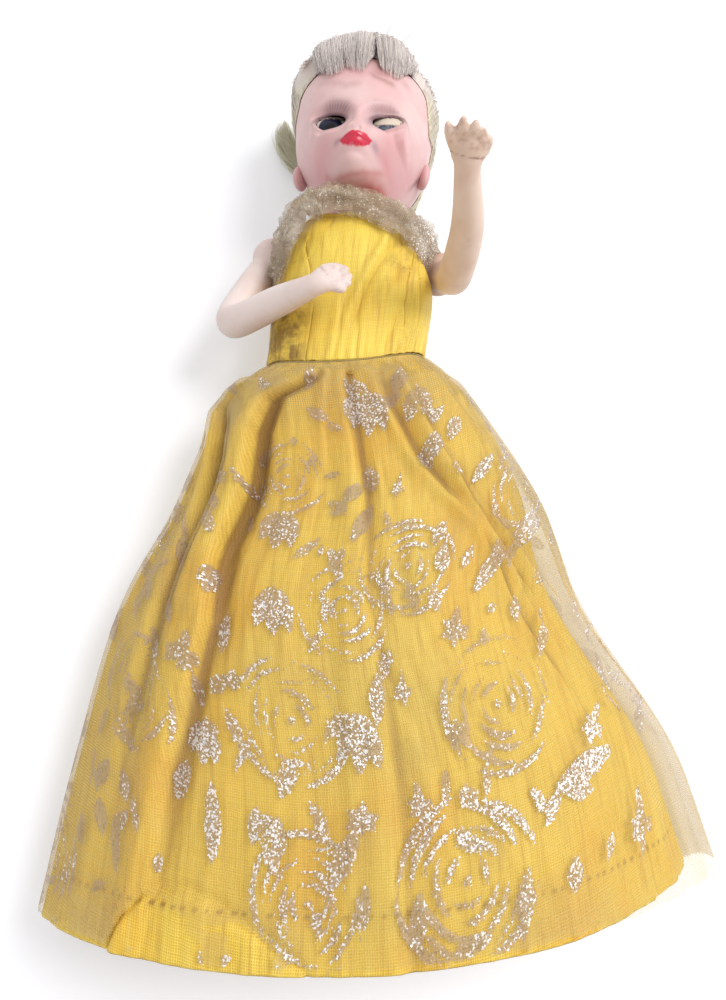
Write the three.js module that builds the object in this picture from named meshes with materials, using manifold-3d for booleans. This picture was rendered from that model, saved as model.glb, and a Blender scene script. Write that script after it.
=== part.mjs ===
// A costume doll lying on its back. Its hard plastic body is strung on elastic, the eyes open and
// close on weights, and it wears a wig, a satin bodice, a lined skirt with a brocade overlay and a
// net stole. Millimetres throughout: X runs to the doll's left, Y from its feet to its head and Z
// up from the table. Every piece is laid out from the waist, then the doll is centred.

import * as THREE from 'three';
import { mergeVertices } from 'three/addons/utils/BufferGeometryUtils.js';
import Module from 'manifold-3d';

const wasm = await Module();
wasm.setup();

// Clearances
const seatGap = 0.3; // between pieces that lie against each other
const turnGap = 0.4; // around what turns in a socket

// Body axis and walls
const axisZ = 14.5; // height of the neck, shoulder and hip axes above the table
const bodyWall = 1.3;
const seamGap = 0.3;

// Torso
const crotchY = -25.5;
const crotchHalfWidth = 3.4;
const hipsY = -13;
const hipsHalfWidth = 15.6;
const hipsHalfDepth = 10.6;
const waistHalfWidth = 13.8;
const waistHalfDepth = 9.3;
const bustY = 18;
const bustHalfWidth = 15.8;
const bustHalfDepth = 10.4;
const shoulderY = 27.6; // arm axis
const shoulderHalfWidth = 15.6;
const shoulderHalfDepth = 8.6;
const neckBaseY = 33;
const neckTopY = 39.4;
const neckRadius = 5.2;

// Head and face
const headY = 54;
const headZ = 19;
const headHalfWidth = 15.8;
const headHalfLength = 21;
const headHalfDepth = 17.5;
const headBackDepth = 16.7;
const headWall = 1.3;
const headSeamZ = 14; // plane of the seam behind the ears
const faceTaper = 0.26; // how far the cheeks draw in to the chin
const underChin = 17.6; // from the head's middle down to the flat under the chin
const noseHeight = 2.3;
const noseDrop = 8;
const mouthDrop = 11.5;
const mouthHeight = 1.1;
const chinDrop = 16;
const chinHeight = 1.5;
const cheekHeight = 0.8;
const earRadius = 2.9;
const earDrop = 3;
const earBack = 1;
const headTurn = -5; // the face looks a little to the doll's right in this pose

// Sleep eyes
const eyeSpacing = 6.1; // from the face's middle to each eye's middle
const eyeDrop = 3.8;
const eyeRadius = 4.4;
const eyeSide = 3.4; // the ball is flat at each side
const eyeSink = 0.7; // the ball's front behind the face
const eyeOpeningWidth = 6.8;
const eyeOpeningHeight = 4.4;
const eyeAxleRadius = 0.5;
const eyeWeightRadius = 1.7;
const eyeWeightReach = 6.6;
const eyeWeightAngle = 25; // of the weight's stalk behind straight down when the eye is open
const eyeClosedLeft = 38; // how far each eye has turned shut in this pose
const eyeClosedRight = 14;
const cradleWall = 0.7;
const cradleReach = 6.4;

// Wig
const hairHalfWidth = 17.4;
const hairHalfDepth = 20.8;
const hairY = 57.5;
const hairZ = 20.2;
const hairHalfLength = 28.5;
const hairNapeY = 39;
const hairlineRise = 10.5; // from the head's middle up to the hairline
const fringeThickness = 2.6;
const wigEase = 0.45; // the cap's slack over the scalp
const lockRadius = 2.4;

// Arms
const shoulderBallRadius = 4.8;
const armSeatX = 15.6; // flat where the arm meets the torso
const armPinDepth = 2.4;
const upperArmRadius = 3.5;
const elbowRadius = 3.5;
const forearmRadius = 3.1;
const wristRadius = 2.3;
const palmHalfWidth = 3;
const palmHalfThickness = 1.6;
const fingerRadius = 0.9;
const thumbRadius = 1;

// Legs
const hipY = -17; // leg axis
const hipBallRadius = 8.5;
const legSeatX = 6.2;
const legX = 9.8;
const kneeY = -58;
const kneeRadius = 5.3;
const calfY = -71;
const calfRadius = 5.7;
const ankleY = -96;
const ankleRadius = 3.5;
const soleY = -104;
const heelZ = 7.5;
const toeZ = 27;
const footHalfWidth = 4.1;
const legLift = 60; // how far the legs swing forward
const legDrop = 5.2; // the heels lie this much lower than straight legs would

// Stringing
const elasticRadius = 0.6;
const hookWire = 0.42;
const hookRingRadius = 1.35;
const hookHeadRadius = 2;
const hookHeadThickness = 0.8;
const armLoopHalfWidth = 1.6;
const bodyLoopHalfWidth = 2.4;

// Bodice
const bodiceWall = 0.7;
const bodiceHalfWidth = 17.2; // at the bust
const bodiceHemHalfWidth = 16.2;
const bodiceBack = 3.4; // height above the table at the back of the bust
const bodiceFront = 26.8;
const bodiceHemBack = 3.8;
const bodiceHemFront = 25;
const bodiceTopY = 32.6;
const bodiceTopHalfWidth = 14.2;
const bodiceHemGap = 0.6; // between the bodice and the skirt's waist
const armholeRadius = 7.4;
const seamOpening = 0.3;

// Skirt: reach from the doll's middle to its right and left, and heights above the table
const overlayWall = 0.6;
const liningWall = 0.6;
const layerGap = 0.35; // between the overlay and the lining
const waistStagger = 0.8; // drop of a layer's waist edge for each millimetre that it lies further in
const skirtTopY = 1.3;
const skirtWaistHalfWidth = 16.4;
const skirtWaistBack = 2.1;
const skirtWaistFront = 26;
const waistSkew = 2.9; // the waist seam's left end lies this much higher than its middle
const waistBow = 5.5; // the seam's middle hangs this much lower than a straight edge
const waistEdge = 12.3; // height of the widest line over the waist's back
const puffY = -7;
const puffRight = 25.5;
const puffLeft = 28.5;
const puffFront = 29;
const upperY = -28.5;
const upperRight = 30.5;
const upperLeft = 43.2;
const upperFront = 29.5;
const kneeLineY = -50;
const kneeLineRight = 38.5;
const kneeLineLeft = 51.5;
const kneeLineFront = 30.5;
const lowerY = -74;
const lowerRight = 41.5;
const lowerLeft = 67;
const lowerFront = 31;
const hemY = -96.5;
const hemRight = 43;
const hemLeft = 74;
const hemFront = 31.5;
const skirtSkew = 8; // the hem's left end lies this much higher than its middle
const puffSkew = 3;
const hemBow = 8; // the hem's middle hangs this much lower than a straight edge
const hemEdge = 2.2; // height of the folded edge at each side
const sideEdge = 9; // height of the widest line above the table below the waist
const foldHeight = 3.2; // of the main fold over the cloth beside it

// Stole
const stoleHalfThickness = 1.3;
const stoleHalfWidth = 2.4;
const stoleReach = 14.2; // from the neck's middle to the band's middle at each side
const stoleDepth = 11;

// Faces round and along the larger forms
const headFaces = [26, 19];
const headHollowFaces = [14, 11];
const wigFaces = [20, 14];
const wigHollowFaces = [14, 11];
const torsoFaces = [22, 15];
const torsoHollowFaces = [12, 9];
const limbFaces = [10, 15];
const fingerFaces = [6, 3];
const legFaces = [10, 9];
const bodiceFaces = [26, 6];
const skirtFaces = [42, 12];
const leastFoldStep = 0.03; // between the angles of a ring's points at the folds
const openAfter = [8, 11, 14]; // the places in a ring after which the cloth runs wide between folds

const plastic = { color: 0xe9b9a4, roughness: 0.45, metalness: 0 };
const armPlastic = { color: 0xe6cdb8, roughness: 0.5, metalness: 0 };
const eyeWhite = { color: 0xe8e2d6, roughness: 0.2, metalness: 0 };
const steel = { color: 0x9a9a98, roughness: 0.4, metalness: 1 };
const lead = { color: 0x6c6e70, roughness: 0.6, metalness: 0.9 };
const rubber = { color: 0xd8c8a4, roughness: 0.9, metalness: 0 };
const hair = { color: 0xd9cfae, roughness: 0.6, metalness: 0 };
const satin = { color: 0xe8bf1c, roughness: 0.4, metalness: 0 };
const brocade = { color: 0xdcb22a, roughness: 0.5, metalness: 0.1 };
const net = { color: 0xb9a67a, roughness: 0.8, metalness: 0.1 };

const doll = new THREE.Group();

// Solids

function add(name, solid, look) {
  const mesh = solid.getMesh();
  const geometry = new THREE.BufferGeometry();
  geometry.setAttribute('position', new THREE.BufferAttribute(new Float32Array(mesh.vertProperties), 3));
  geometry.setIndex(new THREE.BufferAttribute(new Uint32Array(mesh.triVerts), 1));
  geometry.computeVertexNormals();
  const piece = new THREE.Mesh(geometry, new THREE.MeshStandardMaterial(look));
  piece.name = name;
  doll.add(piece);
}

function solidOf(geometry) {
  geometry.deleteAttribute('normal');
  geometry.deleteAttribute('uv');
  const merged = mergeVertices(geometry, 1e-4);
  const vertProperties = new Float32Array(merged.attributes.position.array);
  const triVerts = new Uint32Array(merged.index.array);
  return new wasm.Manifold(new wasm.Mesh({ numProp: 3, vertProperties, triVerts }));
}

// Triangles between rings of points, turned so that they face out.
function solidOfFaces(points, faces) {
  let volume = 0;
  for (const [a, b, c] of faces) {
    volume += points[a].dot(new THREE.Vector3().crossVectors(points[b], points[c]));
  }
  const turned = volume < 0 ? faces.map(([a, b, c]) => [a, c, b]) : faces;
  const geometry = new THREE.BufferGeometry().setFromPoints(points);
  geometry.setIndex(turned.flat());
  return solidOf(geometry);
}

// A cut along a slanting edge can leave crumbs; the piece is the body that holds the material.
function mainBody(solid) {
  return solid.decompose().sort((a, b) => b.volume() - a.volume())[0];
}

function strip(faces, first, second, count) {
  for (let j = 0; j < count; j++) {
    const k = (j + 1) % count;
    faces.push([first + j, first + k, second + k], [first + j, second + k, second + j]);
  }
}

function centreOf(ring) {
  const sum = new THREE.Vector3();
  ring.forEach((point) => sum.add(point));
  return sum.divideScalar(ring.length);
}

// A solid through a row of rings, closed by a fan at each end.
function loft(rings) {
  const count = rings[0].length;
  const points = [...rings.flat(), centreOf(rings[0]), centreOf(rings.at(-1))];
  const faces = [];
  for (let i = 0; i + 1 < rings.length; i++) {
    strip(faces, i * count, (i + 1) * count, count);
  }
  const lastRing = (rings.length - 1) * count;
  for (let j = 0; j < count; j++) {
    const k = (j + 1) % count;
    faces.push([points.length - 2, k, j], [points.length - 1, lastRing + j, lastRing + k]);
  }
  return solidOfFaces(points, faces);
}

// An open tube with a wall. Its outside and inside are split into triangles alike, so that thin
// layers of one shape lie in each other without touching.
function sleeve(outerRings, innerRings) {
  const count = outerRings[0].length;
  const outerEnd = (outerRings.length - 1) * count;
  const inner = outerRings.length * count;
  const faces = [];
  const inside = [];
  for (let ring = 0; ring < outerEnd; ring += count) {
    strip(faces, ring, ring + count, count);
    strip(inside, inner + ring, inner + ring + count, count);
  }
  faces.push(...inside.map(([a, b, c]) => [a, c, b]));
  strip(faces, outerEnd, inner + outerEnd, count);
  strip(faces, inner, 0, count);
  return solidOfFaces([...outerRings.flat(), ...innerRings.flat()], faces);
}

function closedLoft(rings) {
  const count = rings[0].length;
  const faces = [];
  for (let i = 0; i < rings.length; i++) {
    strip(faces, i * count, ((i + 1) % rings.length) * count, count);
  }
  return solidOfFaces(rings.flat(), faces);
}

function ringAround(steps, place) {
  return Array.from({ length: steps }, (_, j) => place((2 * Math.PI * j) / steps));
}

function ball(radius, x, y, z, steps = 20) {
  return solidOf(new THREE.SphereGeometry(radius, steps, Math.round(steps * 0.6))).translate(x, y, z);
}

function block(x0, x1, y0, y1, z0, z1) {
  const geometry = new THREE.BoxGeometry(x1 - x0, y1 - y0, z1 - z0);
  geometry.translate((x0 + x1) / 2, (y0 + y1) / 2, (z0 + z1) / 2);
  return solidOf(geometry);
}

function rodX(radius, x0, x1, y, z, steps = 20) {
  const geometry = new THREE.CylinderGeometry(radius, radius, Math.abs(x1 - x0), steps);
  geometry.rotateZ(Math.PI / 2);
  geometry.translate((x0 + x1) / 2, y, z);
  return solidOf(geometry);
}

function rodY(radius, y0, y1, x, z, steps = 20) {
  const geometry = new THREE.CylinderGeometry(radius, radius, y1 - y0, steps);
  geometry.translate(x, (y0 + y1) / 2, z);
  return solidOf(geometry);
}

// Everything on the head is laid out facing straight up, then turned about the neck.
function turnHead(solid) {
  return solid.translate(0, 0, -axisZ).rotate([0, headTurn, 0]).translate(0, 0, axisZ);
}

function smoothStep(from, to, value) {
  return THREE.MathUtils.smoothstep(value, from, to);
}

function bump(x, width) {
  return Math.exp(-(x * x) / (width * width));
}

// Sections are rows of numbers; the curve through them is followed in even steps.
function followSections(sections, steps) {
  const size = sections[0].length;
  const curves = [];
  for (let i = 0; i < size; i++) {
    const points = sections.map((row) => new THREE.Vector3(row[i], 0, 0));
    curves.push(new THREE.CatmullRomCurve3(points, false, 'catmullrom', 0.5));
  }
  return Array.from({ length: steps + 1 }, (_, k) => curves.map((curve) => curve.getPoint(k / steps).x));
}

// Torso: rows hold y, half width, half depth and the middle's height.
const torsoSections = [
  [crotchY, crotchHalfWidth, 6.5, axisZ],
  [crotchY + 3.6, hipsHalfWidth * 0.56, 9.3, axisZ],
  [hipsY, hipsHalfWidth, hipsHalfDepth, axisZ - 0.6],
  [-6, (hipsHalfWidth + waistHalfWidth) / 2 + 0.4, (hipsHalfDepth + waistHalfDepth) / 2, axisZ - 0.3],
  [1.5, waistHalfWidth, waistHalfDepth, axisZ],
  [bustY - 8, bustHalfWidth - 1.6, bustHalfDepth - 1.1, axisZ],
  [bustY, bustHalfWidth, bustHalfDepth, axisZ + 0.4],
  [shoulderY - 2, shoulderHalfWidth, shoulderHalfDepth + 1, axisZ],
  [neckBaseY - 3, shoulderHalfWidth - 2.2, shoulderHalfDepth - 1, axisZ],
  [neckBaseY - 0.6, neckRadius + 3, neckRadius + 0.8, axisZ],
  [neckBaseY + 1, neckRadius, neckRadius, axisZ],
  [neckTopY, neckRadius, neckRadius, axisZ],
];

function torsoSolid(offset, [around, steps]) {
  const rows = followSections(torsoSections, steps);
  const rings = rows.map((row, i) => {
    const before = rows[Math.max(i - 1, 0)];
    const after = rows[Math.min(i + 1, rows.length - 1)];
    const run = after[0] - before[0];
    const slope = (after[1] - before[1]) / Math.hypot(run, after[1] - before[1]);
    const side = Math.sqrt(1 - slope * slope);
    return ringAround(around, (a) => new THREE.Vector3(
      (row[1] + offset * Math.max(side, 0.35)) * Math.cos(a),
      row[0] - offset * slope,
      row[3] + (row[2] + offset) * Math.sin(a),
    ));
  });
  return loft(rings);
}

// What is cut out of the torso for the arms and the legs, grown by a wall inside it.
function socketCuts(grow) {
  let cuts = null;
  for (const side of [-1, 1]) {
    const armSeat = side * (armSeatX - seatGap - grow);
    const legSeat = side * (legSeatX - seatGap - grow);
    const arm = rodX(shoulderBallRadius + turnGap + grow, armSeat, side * 40, shoulderY, axisZ);
    let leg = rodX(hipBallRadius + turnGap + grow, legSeat, side * 40, hipY, axisZ, 24);
    for (let lift = 0; lift <= legLift; lift += legLift / 3) {
      const reach = hipBallRadius + turnGap + grow;
      const path = block(Math.min(legSeat, side * 40), Math.max(legSeat, side * 40), -40, 0, -reach, reach);
      leg = leg.add(path.rotate([-lift, 0, 0]).translate(0, hipY, axisZ));
    }
    const pair = arm.add(leg);
    cuts = cuts ? cuts.add(pair) : pair;
  }
  return cuts;
}

function makeTorso() {
  const outside = torsoSolid(0, torsoFaces).subtract(socketCuts(0));
  const inside = torsoSolid(-bodyWall, torsoHollowFaces).subtract(socketCuts(bodyWall));
  const neckBore = rodY(neckRadius - bodyWall, neckBaseY - 4, neckTopY + 5, 0, axisZ);
  const pinHole = hookWire + turnGap;
  let shell = outside.subtract(inside).subtract(neckBore);
  shell = shell.subtract(rodX(pinHole, -20, 20, shoulderY, axisZ, 12));
  shell = shell.subtract(rodX(pinHole, -12, 12, hipY, axisZ, 12));
  const half = seamGap / 2;
  add('torso_front_shell', shell.subtract(block(-60, 60, -80, 80, -60, axisZ + half)), plastic);
  add('torso_back_shell', shell.subtract(block(-60, 60, -80, 80, axisZ - half, 90)), plastic);
}

// Head: a unit direction from the head's middle gives a point of the skin, X to the side, Y up the
// head and Z out of the face. Inset moves it under the skin.
function headPoint(direction, inset) {
  const chin = smoothStep(0.2, 1, -direction.y);
  const front = smoothStep(-0.2, 0.7, direction.z);
  let x = (headHalfWidth - inset) * direction.x * (1 - faceTaper * chin);
  let y = (headHalfLength - inset) * direction.y;
  const depth = direction.z < 0 ? headBackDepth : headHalfDepth;
  let z = (depth - inset) * direction.z * (1 + 0.1 * chin * front);
  const flat = (headHalfLength - inset) * 0.75;
  if (y < -flat) {
    y = -flat + (y + flat) * ((underChin - inset - flat) / (headHalfLength - inset - flat));
  }
  const nose = noseHeight * bump(x, 2.1) * bump(y + noseDrop, 2.4) + 0.8 * bump(x, 2) * bump(y + noseDrop - 4, 3);
  const mouth = mouthHeight * bump(x, 4.4) * bump(y + mouthDrop, 2.6);
  const point = chinHeight * bump(x, 4.6) * bump(y + chinDrop, 3);
  const cheeks = cheekHeight * (bump(x - 9.5, 4) + bump(x + 9.5, 4)) * bump(y + 9, 4);
  const sockets = 1 * (bump(x - eyeSpacing, 3.4) + bump(x + eyeSpacing, 3.4)) * bump(y + eyeDrop, 2.8);
  z += (nose + mouth + point + cheeks - sockets) * front;
  return new THREE.Vector3(x, y + headY, z + headZ);
}

function headSolid(inset, [around, along]) {
  const geometry = new THREE.SphereGeometry(1, around, along);
  const position = geometry.attributes.position;
  for (let i = 0; i < position.count; i++) {
    const direction = new THREE.Vector3().fromBufferAttribute(position, i);
    const point = headPoint(direction.normalize(), inset);
    position.setXYZ(i, point.x, point.y, point.z);
  }
  return solidOf(geometry);
}

// The skin's height straight in front of each eye, and the ball behind it.
function skinHeightAt(x, y) {
  let low = 0;
  let high = 1;
  const target = new THREE.Vector3(x / headHalfWidth, (y - headY) / headHalfLength, 0);
  let height = headZ;
  for (let i = 0; i < 30; i++) {
    const middle = (low + high) / 2;
    const point = headPoint(target.clone().setZ(middle).normalize(), 0);
    if (Math.hypot(point.x, point.y - headY) > Math.hypot(x, y - headY)) {
      low = middle;
    } else {
      high = middle;
    }
    height = point.z;
  }
  return height;
}

const eyeY = headY - eyeDrop;
const eyeZ = skinHeightAt(eyeSpacing, eyeY) - eyeSink - eyeRadius;

function ellipsePrism(halfWidth, halfHeight, z0, z1, steps) {
  const outline = new THREE.Shape().absellipse(0, 0, halfWidth, halfHeight, 0, 2 * Math.PI);
  const geometry = new THREE.ExtrudeGeometry(outline, {
    depth: z1 - z0, bevelEnabled: false, curveSegments: steps,
  });
  geometry.translate(0, 0, z0);
  return solidOf(geometry);
}

function makeHead() {
  const skin = headSolid(0, headFaces);
  const hollow = headSolid(headWall, headHollowFaces);
  let shell = skin;
  for (const side of [-1, 1]) {
    const ear = solidOf(new THREE.SphereGeometry(earRadius, 14, 10)).scale([0.42, 1.15, 0.8]);
    shell = shell.add(ear.rotate([0, side * 22, 0]).translate(side * (headHalfWidth - 0.3), headY - earDrop, headZ - earBack));
  }
  shell = shell.subtract(hollow);
  const neckHole = rodY(neckRadius + turnGap, headY - 30, neckTopY + 3, 0, axisZ, 20);
  const hookSeat = rodY(hookSeatRadius + turnGap, neckTopY + turnGap, neckTopY + 6, 0, axisZ, 20);
  shell = shell.subtract(neckHole).subtract(hookSeat);
  for (const side of [-1, 1]) {
    const x = side * eyeSpacing;
    const opening = ellipsePrism(eyeOpeningWidth / 2, eyeOpeningHeight / 2, eyeZ, eyeZ + 12, 12);
    shell = shell.subtract(opening.translate(x, eyeY, 0));
    shell = shell.subtract(ball(eyeRadius + seatGap, x, eyeY, eyeZ));
  }
  const half = seamGap / 2;
  add('head_front_shell', turnHead(shell.subtract(block(-60, 60, -20, 120, -60, headSeamZ + half))), plastic);
  add('head_back_shell', turnHead(shell.subtract(block(-60, 60, -20, 120, headSeamZ - half, 90))), plastic);
}

const hookSeatRadius = neckRadius + 0.9;

function makeEye(side, name, closed) {
  const x = side * eyeSpacing;
  const bore = rodX(eyeAxleRadius + seatGap, -12, 12, 0, 0, 10);
  const lean = THREE.MathUtils.degToRad(eyeWeightAngle + closed);
  const stalkY = -Math.cos(lean);
  const stalkZ = -Math.sin(lean);
  const stalkTurn = [THREE.MathUtils.radToDeg(Math.atan2(stalkZ, stalkY)), 0, 0];
  const socket = rodY(0.5 + seatGap, eyeRadius - 2, eyeRadius + 2, 0, 0, 12).rotate(stalkTurn);
  let eye = ball(eyeRadius, 0, 0, 0, 14);
  eye = eye.subtract(block(eyeSide, 20, -20, 20, -20, 20)).subtract(block(-20, -eyeSide, -20, 20, -20, 20));
  eye = eye.subtract(bore).subtract(socket);
  add(`eye_ball_${name}`, turnHead(eye.translate(x, eyeY, eyeZ)), eyeWhite);

  const stalk = rodY(0.5, eyeRadius - 2 + seatGap, eyeWeightReach, 0, 0, 10).rotate(stalkTurn);
  const weight = stalk.add(ball(eyeWeightRadius, 0, stalkY * eyeWeightReach, stalkZ * eyeWeightReach, 10));
  add(`eye_weight_${name}`, turnHead(weight.translate(x, eyeY, eyeZ)), lead);

  const earAt = eyeSide + seatGap;
  const reach = earAt + cradleWall;
  const axle = rodX(eyeAxleRadius, -reach, reach, 0, 0, 12);
  add(`eye_axle_${name}`, turnHead(axle.translate(x, eyeY, eyeZ)), steel);

  let cradle = block(earAt, reach, -1.8, cradleReach, -2.6, 1.5);
  cradle = cradle.add(block(-reach, -earAt, -1.8, cradleReach, -2.6, 1.5));
  cradle = cradle.add(block(-reach, reach, cradleReach - cradleWall, cradleReach, -2.6, 1.5));
  cradle = cradle.subtract(rodX(eyeAxleRadius + seatGap, -12, 12, 0, 0, 14));
  const room = headSolid(headWall + seatGap, headHollowFaces);
  add(`eye_cradle_${name}`, turnHead(mainBody(cradle.translate(x, eyeY, eyeZ).intersect(room))), steel);
}

// Wig: a layer over the back, top and sides of the head, with the face left open.
function hairOutside(shrink) {
  const shape = solidOf(new THREE.SphereGeometry(1, ...wigFaces));
  const size = [hairHalfWidth - shrink, hairHalfLength - shrink, hairHalfDepth - shrink];
  return shape.scale(size).translate(0, hairY, hairZ);
}

function makeWig() {
  const scalp = headSolid(-seatGap - wigEase, wigHollowFaces);
  const table = block(-60, 60, -60, 140, -60, 0);
  const nape = block(-60, 60, -60, hairNapeY, -60, 90);
  const faceHeight = hairlineRise + underChin + 8;
  const face = solidOf(new THREE.SphereGeometry(1, 28, 20))
    .scale([headHalfWidth + 1.2, faceHeight / 2, 22])
    .translate(0, headY + hairlineRise - faceHeight / 2, headZ + 16);
  let wig = hairOutside(0).subtract(scalp).subtract(nape).subtract(face);
  for (const side of [-1, 1]) {
    wig = wig.subtract(ball(earRadius * 1.6, side * (headHalfWidth + 0.5), headY - earDrop, headZ - earBack, 16));
  }
  add('hair_wig', turnHead(wig).subtract(table), hair);

  const layer = headSolid(-seatGap - fringeThickness, headFaces).subtract(headSolid(-seatGap, headFaces));
  const leftTuft = solidOf(new THREE.SphereGeometry(1, 20, 14)).scale([7.6, 4.6, 12]);
  const rightTuft = solidOf(new THREE.SphereGeometry(1, 20, 14)).scale([4.6, 5.4, 12]);
  const fringeY = headY + hairlineRise;
  let fringe = leftTuft.rotate([0, 0, -8]).translate(-5.4, fringeY - 0.6, headZ + headHalfDepth);
  fringe = fringe.add(rightTuft.rotate([0, 0, 26]).translate(5, fringeY - 0.2, headZ + headHalfDepth));
  const wigGrown = hairOutside(-seatGap).subtract(face);
  add('hair_fringe', turnHead(mainBody(layer.intersect(fringe).subtract(wigGrown))), hair);

  const path = [[-9, 60, 3.4], [-15, 63.5, 3.2], [-20.5, 67.5, 3], [-23.6, 74, 2.6], [-25.4, 81, 2]];
  const sizes = [[lockRadius * 0.7], [lockRadius], [lockRadius * 0.95], [lockRadius * 0.7], [0.4]];
  const lock = sweep(path, sizes, [10, 9], new THREE.Vector3(0, 0, 1));
  const wigSide = turnHead(hairOutside(-seatGap));
  add('hair_side_lock', mainBody(lock.subtract(wigSide).subtract(table)), hair);
}

// A limb or finger swept along a curve. Each size row holds a half width and, for a flattened
// piece, a half thickness measured along the thin direction.
function sweep(path, sizes, [around, steps], thinDirection) {
  const points = path.map(([x, y, z]) => new THREE.Vector3(x, y, z));
  const curve = new THREE.CatmullRomCurve3(points, false, 'catmullrom', 0.5);
  const rings = followSections(sizes, steps).map(([wideSize, thinSize = wideSize], i) => {
    const at = curve.getPoint(i / steps);
    const along = curve.getTangent(i / steps);
    const thin = thinDirection.clone().addScaledVector(along, -thinDirection.dot(along)).normalize();
    const wide = new THREE.Vector3().crossVectors(thin, along);
    return ringAround(around, (a) => at.clone()
      .addScaledVector(wide, wideSize * Math.cos(a))
      .addScaledVector(thin, thinSize * Math.sin(a)));
  });
  return loft(rings);
}

// Arms: a bent limb through points from the shoulder to the knuckles, four fingers and a thumb.
function makeArm(name, side, path, thinDirection, fingers, thumb) {
  const sizes = [
    [shoulderBallRadius * 0.9, shoulderBallRadius * 0.9],
    [upperArmRadius, upperArmRadius],
    [elbowRadius, elbowRadius],
    [forearmRadius, forearmRadius],
    [wristRadius, wristRadius * 0.92],
    [palmHalfWidth, palmHalfThickness],
    [palmHalfWidth * 0.9, palmHalfThickness * 0.7],
  ];
  let arm = sweep(path, sizes, limbFaces, thinDirection);
  arm = arm.add(ball(shoulderBallRadius, ...path[0], 14));
  for (const [from, to] of fingers) {
    const sizesAlong = [[fingerRadius], [fingerRadius], [fingerRadius * 0.5]];
    arm = arm.add(sweep([from, middleOf(from, to, 0.7), to], sizesAlong, fingerFaces, thinDirection));
  }
  const thumbSizes = [[thumbRadius], [thumbRadius], [thumbRadius * 0.5]];
  arm = arm.add(sweep([thumb[0], middleOf(...thumb, 0.7), thumb[1]], thumbSizes, fingerFaces, thinDirection));
  const seat = side * armSeatX;
  const reach = shoulderBallRadius + 2;
  const inboard = block(
    Math.min(0, seat), Math.max(0, seat), shoulderY - reach, shoulderY + reach, axisZ - reach, axisZ + reach,
  );
  arm = arm.subtract(inboard).subtract(pinPocket(side, armSeatX, armPinDepth, shoulderY));
  add(`arm_${name}`, arm, armPlastic);
}

function middleOf(from, to, share) {
  return from.map((value, i) => value + (to[i] - value) * share);
}

// The pocket in a limb that holds the hook's round head, open through the flat seat.
function pinPocket(side, seatX, depth, y) {
  const throat = rodX(hookWire + turnGap, side * (seatX - 1), side * (seatX + depth), y, axisZ, 12);
  const room = hookHeadThickness + 2 * turnGap;
  const chamber = rodX(hookHeadRadius + turnGap, side * (seatX + depth), side * (seatX + depth + room), y, axisZ, 16);
  return throat.add(chamber);
}

// A wire hook along X: a ring for the elastic, a shank and a round head inside the limb.
function makeSideHook(name, side, seatX, depth, y, ringX, ringTurn) {
  const ring = solidOf(new THREE.TorusGeometry(hookRingRadius, hookWire, 5, 10)).rotate(ringTurn);
  const headAt = seatX + depth + turnGap;
  let hook = ring.translate(side * ringX, y, axisZ);
  hook = hook.add(rodX(hookWire, side * (ringX + hookRingRadius), side * (headAt + hookHeadThickness / 2), y, axisZ, 8));
  hook = hook.add(rodX(hookHeadRadius, side * headAt, side * (headAt + hookHeadThickness), y, axisZ, 12));
  add(name, hook, steel);
}

const armRingX = armSeatX - bodyWall - 4.2;
const legRingX = bodyLoopHalfWidth;
const headRingY = shoulderY + 3.4;

function elasticLoop(halfWidth, from, to, place) {
  const length = to - from;
  const turns = 6;
  const centres = [];
  for (let i = 0; i <= turns; i++) {
    const a = (Math.PI * i) / turns;
    centres.push([to + halfWidth * Math.sin(a), halfWidth * Math.cos(a)]);
  }
  centres.push([from + length * 0.5, -halfWidth]);
  for (let i = 0; i <= turns; i++) {
    const a = Math.PI + (Math.PI * i) / turns;
    centres.push([from + halfWidth * Math.sin(a), halfWidth * Math.cos(a)]);
  }
  centres.push([from + length * 0.5, halfWidth]);
  const rings = centres.map(([u, v], i) => {
    const before = centres[(i + centres.length - 1) % centres.length];
    const after = centres[(i + 1) % centres.length];
    const run = Math.hypot(after[0] - before[0], after[1] - before[1]);
    const outU = (after[1] - before[1]) / run;
    const outV = -(after[0] - before[0]) / run;
    return ringAround(6, (a) => place(
      u + outU * elasticRadius * Math.cos(a), v + outV * elasticRadius * Math.cos(a), elasticRadius * Math.sin(a),
    ));
  });
  return closedLoft(rings);
}

function makeStringing() {
  makeSideHook('arm_hook_left', 1, armSeatX, armPinDepth, shoulderY, armRingX, [0, 0, 0]);
  makeSideHook('arm_hook_right', -1, armSeatX, armPinDepth, shoulderY, armRingX, [0, 0, 0]);
  makeSideHook('leg_hook_left', 1, legSeatX, armPinDepth, hipY, legRingX, [90, 0, 0]);
  makeSideHook('leg_hook_right', -1, legSeatX, armPinDepth, hipY, legRingX, [90, 0, 0]);

  const ring = solidOf(new THREE.TorusGeometry(hookRingRadius, hookWire, 5, 10)).rotate([0, 90, 0]);
  const headAt = neckTopY + turnGap + seatGap;
  let hook = ring.translate(0, headRingY, axisZ);
  hook = hook.add(rodY(hookWire, headRingY + hookRingRadius, headAt + hookHeadThickness / 2, 0, axisZ, 10));
  hook = hook.add(rodY(hookSeatRadius, headAt, headAt + hookHeadThickness, 0, axisZ, 16));
  add('head_hook', hook, steel);

  const armEnd = armRingX - armLoopHalfWidth;
  add('arm_elastic', elasticLoop(armLoopHalfWidth, -armEnd, armEnd, (u, v, w) => (
    new THREE.Vector3(u, shoulderY + w, axisZ + v))), rubber);
  const top = headRingY - bodyLoopHalfWidth;
  add('head_and_leg_elastic', elasticLoop(bodyLoopHalfWidth, hipY - 1.2, top, (u, v, w) => (
    new THREE.Vector3(v, u, axisZ + w))), rubber);
}

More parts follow.
